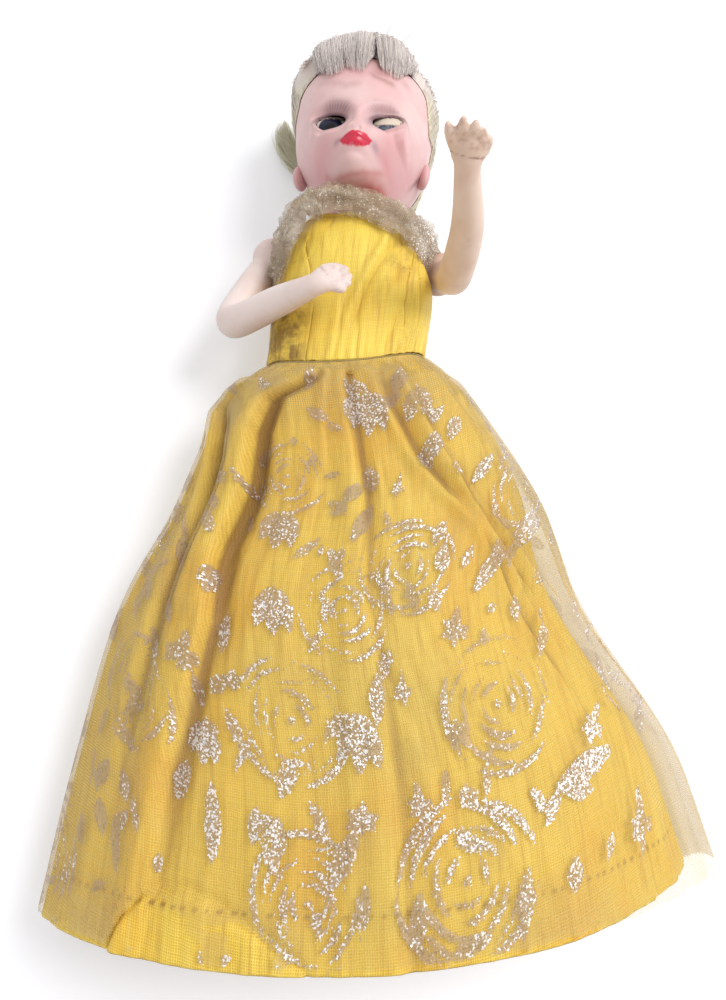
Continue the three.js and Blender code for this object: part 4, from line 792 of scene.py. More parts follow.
def makeSkirt():
    turned, share, base, normal, rise, cloth = makeSkirtSurface()
    across, along = cloth[..., 0], cloth[..., 1]
    rows, columns = share.shape
    # painted shade in the fold valleys: how far each point lies below its blurred neighbours
    foldShade = np.clip((blurAcross(rise, 9) - rise) * 0.9, 0, 1)
    foldShade = np.clip(foldShade + np.clip(blurAcross(rise, 26) - rise - 0.5, 0, 3) * 0.35, 0, 1)
    side = np.cos(turned)
    pattern = wovenPattern(across, along)
    # painted glints: how many bright specks the pattern gets, fewer on the far left and far right
    glint = 0.34 + 0.42 * softNoise(across / 9, along / 11, seed=3) + 0.10 * smoothStep(0.5, 0.9, share)
    glint -= 0.32 * smoothStep(2.2, 2.5, turned) * (turned < np.pi + 0.3) + 0.45 * smoothStep(0.45, 0.2, turned)
    glint = np.clip(glint, 0.05, 0.95)
    veil = 0.55 * smoothStep(0.44, 0.33, share) * (0.6 + 0.5 * softNoise(across / 5, along / 7, seed=9))
    veil += 0.42 * smoothStep(0.95, 0.55, turned) * smoothStep(0.36, 0.46, share) * smoothStep(0.72, 0.5, share)
    veil += 0.35 * smoothStep(0.35, 0.1, turned) + 0.3 * smoothStep(5.2, 6.2, turned)
    veil += 0.35 * bump(turned - 2.42, 0.1) * smoothStep(0.36, 0.44, share) * smoothStep(0.62, 0.5, share)
    veil += 0.16 * smoothStep(2.25, 2.4, turned) * smoothStep(0.5, 0.6, share)
    veil += 0.25 * smoothStep(0.93, 0.99, share) * smoothStep(0.1, 0.6, softNoise(across / 8, 0, seed=19) + 0.3)
    veil = np.clip(veil, 0, 0.85)

    # where the overlay has torn away from the hem, the satin shows alone
    tornTop = np.interp(turned, [1.74, 1.78, 1.83, 1.9, 2.02, 2.12, 2.25, 2.33, 2.4],
                        [1.03, 0.995, 0.983, 0.966, 0.945, 0.934, 0.94, 0.972, 1.03])
    torn = smoothStep(tornTop - 0.002, tornTop + 0.004, share) * (turned < np.pi)
    whole = 1 - 1.1 * smoothStep(0.984, 1.0, share)
    whole -= 1.4 * torn * smoothStep(0.25, -0.1, softNoise(across / 5, along / 3, seed=77))
    lift = 0.5 * torn - 0.6 * bump(share - tornTop, 0.006) * (turned > 1.74) * (turned < 2.4)
    rise = rise + lift * smoothStep(0, 0.3, np.sin(turned))

    over = base + normal * (rise + skirt["overlayOut"])[..., None]
    over[..., 1] += np.where(share > 0.999, 0.5 * softNoise(across * 1.2, 0, seed=51), 0)
    over[..., 2] = np.maximum(over[..., 2], 0.05)
    overlay = meshOf("skirt_brocade", toRow(over), gridFaces(rows, columns), brocadeMaterial(), {
        "cloth": cloth, "pattern": pattern, "glint": glint, "veil": veil, "low": foldShade * 0.8, "whole": whole,
    })
    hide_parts("skirt_overlay")

    inset = skirt["liningInset"] * smoothStep(0, 0.04, share) + 0.3
    lining = base + normal * (rise - inset)[..., None]
    narrow = skirt["sheerStrip"] * smoothStep(0.36, 0.6, share) * smoothStep(0.35, 1.0, side)
    lining[..., 0] -= narrow
    # the hem is turned up inside
    turnRows = 12
    back = np.linspace(1, 1 - skirt["hemTurn"] / 105, turnRows)
    pick = np.clip(np.round(back * (rows - 1)).astype(int), 0, rows - 1)
    inner = lining[pick] - normal[pick] * 0.35
    inner[0] = lining[-1] + np.array([0, -0.28, 0]) - normal[-1] * 0.17
    points = np.concatenate([lining, inner])
    points[..., 2] = np.maximum(points[..., 2], 0.12)
    fullCloth = np.concatenate([cloth + np.array([3.0, 5.0, 9.0]), cloth[pick] + np.array([3.0, 5.0, 12.0])])
    seamLine = 0.55 * bump(share - 0.952, 0.0035) * (0.5 + 0.5 * np.sign(np.sin(across * 3.4)))
    # painted shade in the folds, with a dashed dark seam line near the hem on the front
    low = np.clip(foldShade + seamLine * (turned < np.pi), 0, 1)
    # brown patches in the satin just below the waist
    stainAndShade = 0.5 * smoothStep(0.42, 0.33, share) * smoothStep(0, 0.5, softNoise(across / 4, along / 4, seed=63) + 0.1)
    satin = satinMaterial("skirt_satin", 0.36, 0.55, linear(247, 212, 84), linear(242, 190, 62), linear(226, 200, 96))
    under = meshOf("skirt_satin_lining", toRow(points), gridFaces(rows + turnRows, columns), satin, {
        "cloth": fullCloth, "low": np.concatenate([low, low[pick]]),
        "stainAndShade": np.concatenate([stainAndShade, stainAndShade[pick] * 0]),
    })
    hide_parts("skirt_lining")
    return overlay, under, over, turned, share, across


skirtOverlay, skirtLining, skirtPoints, skirtAngle, skirtShare, skirtAcross = makeSkirt()
print("skirt ready")


# Bodice: a front and two back panels of satin with darts, seams and pulls in the cloth

bodice = {
    "sections": [  # y, half width, back and front height, skew, bow
        [1.9, 16.2, 3.8, 25, 2.9, 5.5], [10, 16.7, 3.6, 25.8, 1.16, 1.4], [18, 17.2, 3.4, 26.8, 0, 0],
        [25.6, 16.7, 3.5, 26.8, 0, 0], [32.6, 14.2, 5.2, 25.8, 0, 0],
    ],
    "sideSeam": 13.5, "armholeY": 27.6, "armholeRadius": 7.4, "rows": 150, "columns": 230, "thick": 0.4,
    "pulls": [  # path of (share, angle), width, height: positive stands up, negative is a groove
        ([(0.18, 1.60), (0.37, 1.47), (0.7, 1.25), (0.82, 1.17)], 0.050, 0.62),
        ([(0.20, 1.48), (0.40, 1.36), (0.62, 1.18), (0.78, 1.06)], 0.055, -0.62),
        ([(0.30, 1.22), (0.5, 1.08), (0.7, 0.93)], 0.06, 0.45),
        ([(0.05, 1.75), (0.25, 1.72), (0.45, 1.66)], 0.05, 0.4),
        ([(0.45, 0.98), (0.6, 0.98), (0.78, 0.94)], 0.05, -0.45),
        ([(0.06, 1.05), (0.2, 0.95), (0.34, 0.86)], 0.05, -0.4),
        ([(0.48, 2.11), (0.68, 2.24)], 0.020, -0.42), ([(0.0, 2.06), (0.24, 2.03)], 0.024, -0.42),
        ([(0.0, 1.96), (0.24, 1.94)], 0.04, 0.25), ([(0.2, 0.82), (0.46, 0.85), (0.71, 0.76)], 0.018, -0.40),
        ([(0.0, 0.55), (0.32, 0.57), (0.8, 0.68), (1.0, 0.74)], 0.022, -0.5),
        ([(0.0, 0.62), (0.4, 0.66), (1.0, 0.83)], 0.05, 0.35),
        ([(0.86, 1.98), (0.97, 1.90)], 0.05, -0.35), ([(0.8, 2.2), (1.0, 2.2)], 0.16, 0.5),
    ],
    "stitches": [
        [(0.48, 2.11), (0.6, 2.17), (0.68, 2.24)], [(0.02, 2.05), (0.12, 2.05), (0.24, 2.03)],
        [(0.22, 0.82), (0.46, 0.85), (0.71, 0.76)],
    ],
    "stitchLength": 1.5, "stitchGap": 0.5, "stitchRadius": 0.085,
}


def bodicePoint(angle, share, out=0.0):
    row = follow(bodice["sections"], share)
    y, half, back, front, skew, bow = (row[..., k] for k in range(6))
    return np.stack([
        (half + out) * np.cos(angle), y + skew * np.cos(angle) - bow * np.sin(angle) ** 2,
        (front + back) / 2 + ((front - back) / 2 + out) * np.sin(angle),
    ], -1)


def pullHeight(angle, share):
    rise = np.zeros(angle.shape)
    for path, width, height in bodice["pulls"]:
        at, where = zip(*path)
        inside = smoothStep(at[0] - 0.08, at[0] + 0.02, share) * smoothStep(at[-1] + 0.08, at[-1] - 0.02, share)
        rise += height * inside * bump(angle - np.interp(share, at, where), width)
    rise += 0.22 * softNoise(angle * 5, share * 4, seed=7) + 0.07 * softNoise(angle * 16, share * 12, seed=13)
    gather = bump(share, 0.10) * smoothStep(0.0, 0.015, share)
    rise += 0.20 * gather * np.sin(angle * 42 + 4 * softNoise(angle * 4, 0, seed=15))
    rise -= 0.35 * bump(share - 0.965, 0.012) * (angle < np.pi) * (angle > 0)
    return rise


def solidify(piece, thickness, offset=-1.0):
    thick = piece.modifiers.new("cloth_thickness", "SOLIDIFY")
    thick.thickness, thick.offset = thickness * mm, offset
    return piece


def makeBodicePanel(name, node, low, high, front, material, seed):
    share = np.linspace(0, 1, bodice["rows"])
    row = follow(bodice["sections"], share)
    away = bodice["armholeRadius"] ** 2 - (row[:, 0] - bodice["armholeY"]) ** 2
    hole = np.sqrt(np.clip(away, 0, None))
    sideZ = np.where(away > 0, axisZ + hole * (1 if front else -1), bodice["sideSeam"] + (0.08 if front else -0.08))
    if front:
        sideZ = np.maximum(sideZ, bodice["sideSeam"] + 0.08)
    else:
        sideZ = np.minimum(sideZ, bodice["sideSeam"] - 0.08)
    middleZ, halfZ = (row[:, 3] + row[:, 2]) / 2, (row[:, 3] - row[:, 2]) / 2
    edge = np.arcsin(np.clip((sideZ - middleZ) / halfZ, -1, 1))
    start = edge if low is None else np.full(len(share), low)
    end = np.pi - edge if high is None else np.full(len(share), high)
    if not front and low is None:
        start = np.full(len(share), np.pi) - edge
    if not front and high is None:
        end = 2 * np.pi + edge
    t = np.linspace(0, 1, bodice["columns"] if front else bodice["columns"] // 2)
    angle = start[:, None] + (end - start)[:, None] * t
    share2 = np.broadcast_to(share[:, None], angle.shape)
    top = 1 + 0.05 * bump(angle - 2.27, 0.22) - 0.012 * bump(angle - 1.9, 0.12) if front else np.ones(angle.shape)
    share2 = share2 * (1 + (top - 1) * smoothStep(0.8, 1, share2))
    base = bodicePoint(angle, share2)
    normal = normalsOf(base)
    outward = base - np.array([0, 0, axisZ])
    outward[..., 1] = 0
    normal *= np.sign((normal * outward).sum(-1, keepdims=True))
    rise = pullHeight(angle, share2)
    points = base + normal * rise[..., None]
    points[..., 2] = np.maximum(points[..., 2], 0.3)
    cloth = clothCoordinates(base, base.shape[1] // 2) + np.array([seed * 13.0, seed * 7.0, seed])
    # painted shade in the valleys of the pulls
    low = np.clip((blurAcross(rise, 8) - rise) * 1.1, 0, 0.9)
    # painted shadow of the right forearm near the waist, and painted shade darkening the right of the front
    stainAndShade = 0.8 * smoothStep(0.34, 0.20, np.abs(share2 - 0.16)) * smoothStep(1.97, 2.25, angle) * (angle < np.pi)
    stainAndShade += 0.42 * bump(angle - 1.0, 0.20) * smoothStep(0.42, 0.55, share2) * smoothStep(0.9, 0.75, share2)
    stainAndShade += 0.30 * bump(angle - 0.75, 0.2) * smoothStep(0.3, 0.1, share2)
    piece = meshOf(name, toRow(points), gridFaces(*angle.shape), material, {
        "cloth": cloth, "low": low, "stainAndShade": np.clip(stainAndShade, 0, 1),
    })
    solidify(piece, bodice["thick"])
    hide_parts(node)
    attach(piece, "torso")
    return piece


def makeStitches():
    paths = []
    for line in bodice["stitches"]:
        share = np.linspace(line[0][0], line[-1][0], 200)
        angle = np.interp(share, *zip(*line))
        points = bodicePoint(angle, share, 0.02)
        rise = pullHeight(angle, share)
        out = points - np.array([0, 0, axisZ])
        out[:, 1] = 0
        points = points + out / np.linalg.norm(out, axis=1, keepdims=True) * (rise[:, None] + 0.05)
        length = np.concatenate([[0], np.cumsum(np.linalg.norm(np.diff(points, axis=0), axis=1))])
        at = 0.2
        while at + bodice["stitchLength"] < length[-1]:
            inside = np.linspace(at, at + bodice["stitchLength"], 5)
            dash = np.stack([np.interp(inside, length, points[:, k]) for k in range(3)], -1)
            dash[0, 2] -= 0.12
            dash[-1, 2] -= 0.12
            paths.append(toRow(dash))
            at += bodice["stitchLength"] + bodice["stitchGap"]
    points, faces, along = tubes(paths, [bodice["stitchRadius"] * mm] * len(paths), 6)
    look, w, shader = newMaterial("brown_thread")
    strand = w.mark("strand", "Vector")
    w.put(shader.inputs["Base Color"], w.mix(w.noise(strand, 3.0, 2), linear(84, 52, 26), linear(140, 96, 44)))
    shader.inputs["Roughness"].default_value = 0.7
    piece = meshOf("bodice_dart_stitches", points, faces, look, {"strand": along})
    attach(piece, "torso")
    return piece


bodiceSatin = satinMaterial("bodice_satin", 0.34, 0.4, linear(252, 222, 92), linear(246, 204, 74),
                            linear(238, 208, 96))
bodiceFront = makeBodicePanel("bodice_front_panel", "bodice_front", None, None, True, bodiceSatin, 1)
backSeam = 1.5 * math.pi
bodiceBackRight = makeBodicePanel("bodice_back_right_panel", "bodice_back_right", None, backSeam - 0.02, False,
                                  bodiceSatin, 2)
bodiceBackLeft = makeBodicePanel("bodice_back_left_panel", "bodice_back_left", backSeam + 0.02, None, False,
                                 bodiceSatin, 3)
dartStitches = makeStitches()
print("bodice ready")


# Head: skin with sockets, nose, lips and ears, painted by areas

head = {
    "y": 54, "z": 19, "halfWidth": 15.4, "topLength": 26, "lowLength": 21, "halfDepth": 17.8, "backDepth": 16.7,
    "seamZ": 14, "fuller": 0.28, "shift": -0.9, "taper": 0.5, "taperFrom": -0.1, "taperTo": 0.95, "squeezeFrom": 13.0,
    "squeeze": 4.6,
    "turn": -5.0, "around": 330, "along": 320, "wall": 0.6,
    "eyeX": 6.1, "eyeDrop": 3.8, "eyeRadius": 4.35, "eyeWide": 1.4, "eyeSide": 3.1, "eyeCentreZ": 28.935,
    "rimGap": 0.4,
    "openings": {  # middle x and y, half width, height above and below, tilt in degrees (outer end up)
        -1: (-6.15, -4.5, 3.7, 2.0, 1.9, 20), 1: (6.35, -4.1, 3.5, 2.0, 1.5, 22),
    },
}


def turnHead(points, degrees=None):
    a = math.radians(head["turn"] if degrees is None else degrees)
    x, y, z = points[..., 0], points[..., 1], points[..., 2] - axisZ
    return np.stack([x * math.cos(a) + z * math.sin(a), y, -x * math.sin(a) + z * math.cos(a) + axisZ], -1)


def eyeDistance(x, y, side):
    # 1 on the edge of the eye opening, less inside it
    mx, my, half, up, down, tilt = head["openings"][side]
    a = math.radians(tilt) * side
    dx, dy = (x - mx) * math.cos(a) + (y - my) * math.sin(a), -(x - mx) * math.sin(a) + (y - my) * math.cos(a)
    return np.sqrt((dx / half) ** 2 + (dy / np.where(dy > 0, up, down)) ** 2), dx * side, dy


def headSkin(direction, detail=True):
    dx, dy, dz = (direction[..., k] for k in range(3))
    chin = smoothStep(head["taperFrom"], head["taperTo"], -dy)
    front, up = smoothStep(-0.2, 0.7, dz), np.clip(dy, 0, 1)
    x = head["halfWidth"] * dx * (1 - head["taper"] * chin)
    x = x * (1 + head["fuller"] * smoothStep(0, 0.75, up) * (1 - up ** 4)) + head["shift"] * smoothStep(-0.6, 0.4, dz)
    y = np.where(dy > 0, head["topLength"], head["lowLength"]) * dy
    z = np.where(dz < 0, head["backDepth"], head["halfDepth"]) * dz * (1 + 0.1 * chin * front)
    over = np.maximum(-head["squeezeFrom"] - y, 0)
    y = np.maximum(y, -head["squeezeFrom"]) - head["squeeze"] * (1 - np.exp(-over / head["squeeze"]))
    rise = 1.3 * bump(x, 2.5) * bump(y + 8, 2.8) + 0.35 * bump(x, 2.6) * bump(y + 4.5, 3)
    rise += 1.1 * bump(x, 4.4) * bump(y + 11.5, 2.6) + 1.3 * bump(x - 0.3, 4.8) * bump(y + 15.5, 2.8)
    rise += 0.8 * (bump(x - 9.5, 4) + bump(x + 9.5, 4)) * bump(y + 9, 4)
    rise -= 0.5 * (bump(x - 6.1, 3.6) + bump(x + 6.1, 3.6)) * bump(y + 3.4, 2.6)
    rise += 1.0 * (bump(x - 6.6, 4.2) + 0.8 * bump(x + 6.9, 4.2)) * bump(y + 8.6, 3.6)
    if detail:
        rise += 0.3 * (bump(x - 1.5, 0.8) + bump(x + 1.5, 0.8)) * bump(y + 9.0, 0.9)  # wings of the nose
        rise -= 0.16 * (bump(x - 0.85, 0.4) + bump(x + 0.85, 0.4)) * bump(y + 9.7, 0.4)
        rise += 0.3 * bump(y + 10.8, 0.7) * bump(x, 2.4) * (1 - 0.2 * bump(x, 0.5))  # lips
        rise += 0.3 * bump(y + 12.0, 0.7) * bump(x - 0.2, 2.2) - 0.15 * bump(y + 11.3, 0.2) * bump(x, 2.6)
        rise -= 0.3 * bump(y + 13.4, 0.7) * bump(x, 2.4)
    z = z + head["z"] + rise * front
    if detail:
        for side in (-1, 1):  # the rim of each opening lies close round its eyeball
            rho, _, _ = eyeDistance(x, y, side)
            away = ((x - side * head["eyeX"]) / head["eyeWide"]) ** 2 + (y + head["eyeDrop"]) ** 2
            radius = head["eyeRadius"] + head["rimGap"]
            ball = head["eyeCentreZ"] + np.sqrt(np.clip(radius ** 2 - away, 9.0, None))
            pull = smoothStep(2.2, 1.15, rho) * (dz > 0)
            near = smoothStep(4.9, 3.5, np.abs(x - side * head["eyeX"]))
            z = z + (np.clip(ball - z, -1.5, 0) + np.clip(ball - z, 0, 4) * near) * pull
            globe = head["eyeCentreZ"] + np.sqrt(np.clip(radius ** 2 - away, 0.1, None))
            low = globe - 0.1 - z  # nothing of the ball shows through the cheeks
            lids = 0.22 * bump(rho - 1.18, 0.14) + 0.10 * bump(rho - 1.75, 0.2)
            z = z + (0.5 * (low + np.sqrt(low * low + 0.05)) * smoothStep(23, 14, away) * near + lids) * (dz > 0)
    return np.stack([x, y + head["y"], z], -1)


paint = {
    "upperLip": [(-3.5, -11.2), (-2.6, -10.95), (-1.7, -10.65), (-0.5, -10.25), (0.1, -10.35), (0.8, -10.15),
                 (2.2, -10.1),
                 (3.4, -10.5)],
    "lowerLip": [(-3.5, -11.2), (-2.6, -12.2), (-1.4, -12.7), (0.4, -12.8), (1.7, -12.4), (2.7, -11.6), (3.4, -10.5)],
    "leftBrow": [(-10.3, 8.0), (-8.4, 7.0), (-6.8, 6.0), (-4.9, 4.5), (-3.1, 3.3), (0.2, 4.0)],
    "rightBrow": [(1.4, 8.4), (2.6, 7.2), (4.0, 6.8), (5.6, 6.5), (7.2, 6.4)],
    "chinArc": [(-4.5, 10.2), (-3.0, 11.1), (-0.8, 12.2), (1.7, 12.2), (3.9, 10.8), (5.9, 8.9), (8.0, 7.0)],
}


def paintFace(x, y, z):
    # masks in the face's own plane; y is measured from the head's middle
    marks = {}
    front = smoothStep(-2, 5, z)

    def spot(across, up, wide, high):
        # a soft round area about a point of the face
        return bump(np.hypot((x - across) / wide, (y - up) / high), 1)

    upper, lower = (np.interp(x, *zip(*paint[key])) for key in ("upperLip", "lowerLip"))
    ragged = 0.10 * softNoise(x * 2.5, y * 2.5, seed=2)
    lips = smoothStep(0.16, -0.14, y - upper + ragged) * smoothStep(-0.14, 0.16, y - lower + ragged)
    lips = lips * (np.abs(x) < 3.6)
    worn = bump(y - lower - 0.10, 0.26) * smoothStep(-0.1, 0.5, softNoise(x * 1.7, y, seed=4) + 0.2)
    worn = worn * (np.abs(x + 0.2) < 2.1)
    marks["lips"] = lips * (1 - 0.2 * worn) * front
    blush = 0.46 * spot(-8.4, -11.6, 3.4, 3.6) + 0.30 * spot(8.9, -8.6, 4.0, 4.4)
    blush += 0.34 * spot(6.1, -11.2, 1.6, 1.2) + 0.14 * spot(0, 7, 9, 4)
    blush += 0.08 + 0.10 * softNoise(x / 3.5, y / 3.5, seed=6)
    marks["blush"] = np.clip(blush, 0, 1) * smoothStep(-6, 3, z)
    shadow, lashes = np.zeros(x.shape), np.zeros(x.shape)
    for side in (-1, 1):
        rho, out, dy = eyeDistance(x, y, side)
        way = np.arctan2(dy, out)
        above = smoothStep(-0.1, 0.55, np.sin(way))
        reach, middle = (3.3, -0.5) if side < 0 else (3.0, 0.1)
        far = smoothStep(reach, 0.9, rho) * smoothStep(5.2, 1.6, np.abs(out - middle))
        strokes = 0.92 + 0.16 * np.sin(way * 34 + 1.2 * softNoise(way * 4, rho, seed=12))
        shadow = np.maximum(shadow, above * far ** 1.2 * strokes * (1.0 if side < 0 else 0.8))
        # a dark painted lash line round each opening, heavier on top, which also stands in for the shade at the rim;
        # painted shade in the corners
        edge = smoothStep(1.45, 1.02, rho) * (0.22 + 0.70 * smoothStep(-0.3, 0.4, np.sin(way)))
        corner = 0.55 * bump(np.hypot((np.abs(out) - 3.7) / 0.8, dy / 0.7), 1)
        lashes = np.maximum(lashes, np.maximum(edge * 0.85, corner))
    marks["shadow"], marks["lashes"] = np.clip(shadow, 0, 1) * front, np.clip(lashes, 0, 1) * front
    browAndShade = np.zeros(x.shape)
    for key, strength, wide in (("leftBrow", 0.42, 1.25), ("rightBrow", 0.95, 1.15)):
        xs, ys = zip(*paint[key])
        inside = smoothStep(xs[0] - 0.8, xs[0] + 1.0, x) * smoothStep(xs[-1] + 0.8, xs[-1] - 1.2, x)
        hairs = 0.8 + 0.2 * softNoise(x * 4 + y * 2, y * 0.7, seed=14)
        browAndShade = np.maximum(browAndShade, strength * inside * hairs * bump(y - np.interp(x, xs, ys), wide))
    # painted shade where the fringe parts, between the two tufts
    parting = bump(x - np.interp(y, [6, 10, 14, 20], [4.2, 3.4, 2.2, 1.0]),
                   np.interp(y, [6, 12, 20], [2.2, 2.0, 1.0]))
    browAndShade = np.maximum(browAndShade, 0.75 * parting * smoothStep(6.5, 8.5, y))
    browAndShade = np.maximum(browAndShade, 0.4 * spot(9.3, 9.2, 1.0, 1.6))
    marks["browAndShade"] = browAndShade * front
    # mauve: painted shade at the mouth corners, beside the nose and under the lower lip
    corners = spot(-3.9, -11.2, 0.8, 0.6) + spot(3.9, -11.0, 0.9, 1.0)
    corners += 0.45 * spot(2.4, -6.2, 1.2, 2.2) + 0.25 * spot(0, -13.2, 3.6, 0.7)
    marks["mauve"] = np.clip(corners, 0, 1) * 0.6 * front
    # under: painted shade under the chin and along the chin's edge, warmed to red, and a red patch below the chin on
    # the right
    arc = np.interp(x, *zip(*paint["chinArc"]))
    below = smoothStep(0.6, -1.6, z - arc) * smoothStep(-12.0, -14.2, y)
    line = bump(z - arc, 0.75) * smoothStep(-11.5, -13.2, y) * smoothStep(-5.5, -3.0, x) * smoothStep(9.0, 6.0, x)
    along, aside = (x - 3.3) * 0.5 - (z - 6.0) * 0.87, (x - 3.3) * 0.87 + (z - 6.0) * 0.5
    patch = bump(np.hypot(along / 3.6, aside / 1.7), 1) * (y < -10)
    under = below * (0.42 + 0.15 * softNoise(x / 2, z / 2, seed=16)) + 0.45 * line + 0.95 * patch
    marks["under"] = np.clip(under, 0, 1)
    return marks


def skinMaterial(name, light, rosy, darkTone, mottle=0.5, painted=True):
    look, w, shader = newMaterial(name)
    place = w.place()
    base = w.mix(w.step(w.noise(place, 120, 3), 0.35, 0.7, 0, 0.7), light, rosy)
    if painted:
        base = w.mix(w.mark("blush"), base, linear(214, 120, 132))
        # under, browAndShade, mauve and lashes are partly painted shade: under the chin, at the hair's parting, round
        # the mouth and nose, at the rims and corners of the eyes
        base = w.mix(w.times(w.mark("under"), 0.9), base, linear(186, 82, 70))
        base = w.mix(w.times(w.mark("shadow"), 0.88), base, linear(132, 88, 94))
        base = w.mix(w.times(w.mark("browAndShade"), 0.72), base, linear(156, 98, 92))
        base = w.mix(w.mark("mauve"), base, linear(150, 116, 134))
        base = w.mix(w.mark("lashes"), base, linear(84, 52, 60))
        base = w.mix(w.mark("lips"), base, linear(206, 34, 66))
    plastic = w.use(groups["plastic"], Place=place, Color=base, Grime=darkTone, Low=w.mark("low"), Mottle=mottle)
    w.put(shader.inputs["Base Color"], plastic["Color"])
    rough = plastic["Roughness"]
    if painted:
        rough = w.minus(rough, w.times(w.mark("lips"), 0.2))
    w.put(shader.inputs["Roughness"], rough)
    w.put(shader.inputs["Normal"], w.bump(plastic["Height"], 0.10, 0.0001))
    shader.inputs["Subsurface Weight"].default_value = 0.12
    shader.inputs["Subsurface Radius"].default_value = (1.0, 0.45, 0.3)
    shader.inputs["Subsurface Scale"].default_value = 0.0012
    return look


def earPart(side):
    # an ear: a flat shell with a raised rim and a dished middle
    rows, columns = 40, 56
    t, a = ballGrid(rows, columns, 0.001)
    across, up, deep = np.sin(t) * np.cos(a), np.sin(t) * np.sin(a), np.cos(t)
    r = np.sin(t)
    dish = 0.62 * bump(np.hypot(across + 0.1, up - 0.1), 0.52) * (deep > 0)
    rim = 0.22 * bump(r - 0.86, 0.16) * (deep > 0)
    local = np.stack([(deep * 1.25 - dish * 1.5 + rim), up * 3.3, across * 2.35 * (1 - 0.15 * up)], -1)
    turn = math.radians(side * 22)
    x, z = local[..., 0] * side, local[..., 2]
    local = np.stack([x * math.cos(turn) + z * math.sin(turn), local[..., 1],
                      -x * math.sin(turn) + z * math.cos(turn)], -1)
    points = local + np.array([14.0 if side > 0 else -14.9, head["y"] - (2.6 if side > 0 else 3.6), head["z"] - 1.2])
    # darker in the ear's hollow and inside its rim
    low = np.clip(dish * 1.6 + 0.5 * bump(r - 0.6, 0.14) * (deep > 0), 0, 1)
    faces = gridFaces(rows, columns, closed=True)
    if side < 0:
        faces = faces[:, ::-1]
    return points.reshape(-1, 3), faces, low.ravel()


def makeHead():
    around, along = head["around"], head["along"]
    theta, phi = np.meshgrid(np.linspace(0, 2 * np.pi, around, endpoint=False),
                             np.linspace(0.004, np.pi - 0.004, along))
    direction = np.stack([np.cos(theta) * np.sin(phi), np.cos(phi), np.sin(theta) * np.sin(phi)], -1)
    skin = headSkin(direction)
    x, y, z = skin[..., 0], skin[..., 1] - head["y"], skin[..., 2] - head["z"]
    marks = paintFace(x, y, z)
    low = np.zeros(x.shape)
    for side in (-1, 1):  # darker where the ears meet the cheeks and at the nostrils
        crease = 0.75 * bump(np.hypot((y + 5.2) / 2.2, (z + 0.4) / 0.8), 1)
        low += crease * (x * side > 10) * (1.0 if side > 0 else 0.6)
        low += 0.2 * bump(np.hypot((x - side * 0.85) / 0.4, (y + 9.7) / 0.4), 1) * (z > 12)
    low += 0.30 * bump(y + 11.3, 0.15) * (np.abs(x) < 3) * (z > 12)
    marks["low"] = np.clip(low, 0, 1)
    hole = np.zeros(x.shape, bool)
    for side in (-1, 1):
        rho, _, _ = eyeDistance(x, y, side)
        mx, my = head["openings"][side][:2]
        inside = (rho < 1) & (z > 6)
        nearEdge = inside & (rho > 0.72)
        scale = np.where(nearEdge, 1 / np.maximum(rho, 0.05), 1)
        skin[..., 0] = np.where(nearEdge, mx + (x - mx) * scale, skin[..., 0])
        skin[..., 1] = np.where(nearEdge, head["y"] + my + (y - my) * scale, skin[..., 1])
        hole |= inside
    k = (np.arange(around) + 1) % around
    allOpen = hole[:-1] & hole[1:] & hole[:-1][:, k] & hole[1:][:, k]
    middleZ = (skin[:-1, :, 2] + skin[1:, :, 2] + skin[:-1][:, k][..., 2] + skin[1:][:, k][..., 2]) / 4
    neck = ((skin[:-1, :, 1] + skin[1:, :, 1]) / 2 < head["y"] - 14.5) & (
        np.hypot(skin[:-1, :, 0], skin[:-1, :, 2] - axisZ) < 5.6)
    look = skinMaterial("painted_face_plastic", linear(230, 198, 194), linear(220, 182, 180), linear(126, 78, 80))
    for name, node, keep in (("head_face", "head_front_shell", middleZ >= head["seamZ"]),
                             ("head_nape", "head_back_shell", middleZ < head["seamZ"])):
        points = skin.reshape(-1, 3)
        faces = gridFaces(along, around, closed=True, keep=keep & ~allOpen & ~neck)
        values = {key: value.ravel() for key, value in marks.items()}
        if name == "head_face":
            for side in (-1, 1):
                earPoints, earFaces, earLow = earPart(side)
                faces = np.concatenate([faces, earFaces + len(points)])
                points = np.concatenate([points, earPoints])
                for key in values:
                    extra = earLow if key == "low" else np.full(len(earPoints), 0.30 if key == "blush" else 0.0)
                    values[key] = np.concatenate([values[key], extra])
        used = np.unique(faces)
        index = np.full(len(points), -1)
        index[used] = np.arange(len(used))
        piece = meshOf(name, toRow(turnHead(points[used])), index[faces], look,
                       {key: value[used] for key, value in values.items()})
        solidify(piece, head["wall"])
        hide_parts(node)
        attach(piece, "head")


makeHead()
print("head ready")


# Sleep eyes: a ball with its lid, iris and pupil painted on it

eyes = {
    "left": {"side": 1, "closed": 38.0, "iris": (112, 122, 138), "ring": (60, 64, 84), "lashes": 14},
    "right": {"side": -1, "closed": 14.0, "iris": (30, 32, 58), "ring": (20, 18, 38), "lashes": 46},
    "irisAngle": 35.0, "pupilAngle": 14.0, "lidAngle": 30.0, "rows": 96, "columns": 128,
}


def closeEye(points, degrees):
    # closing turns the front down
    a = -math.radians(degrees)
    x, y, z = (points[..., k] for k in range(3))
    return np.stack([x, y * math.cos(a) + z * math.sin(a), -y * math.sin(a) + z * math.cos(a)], -1)


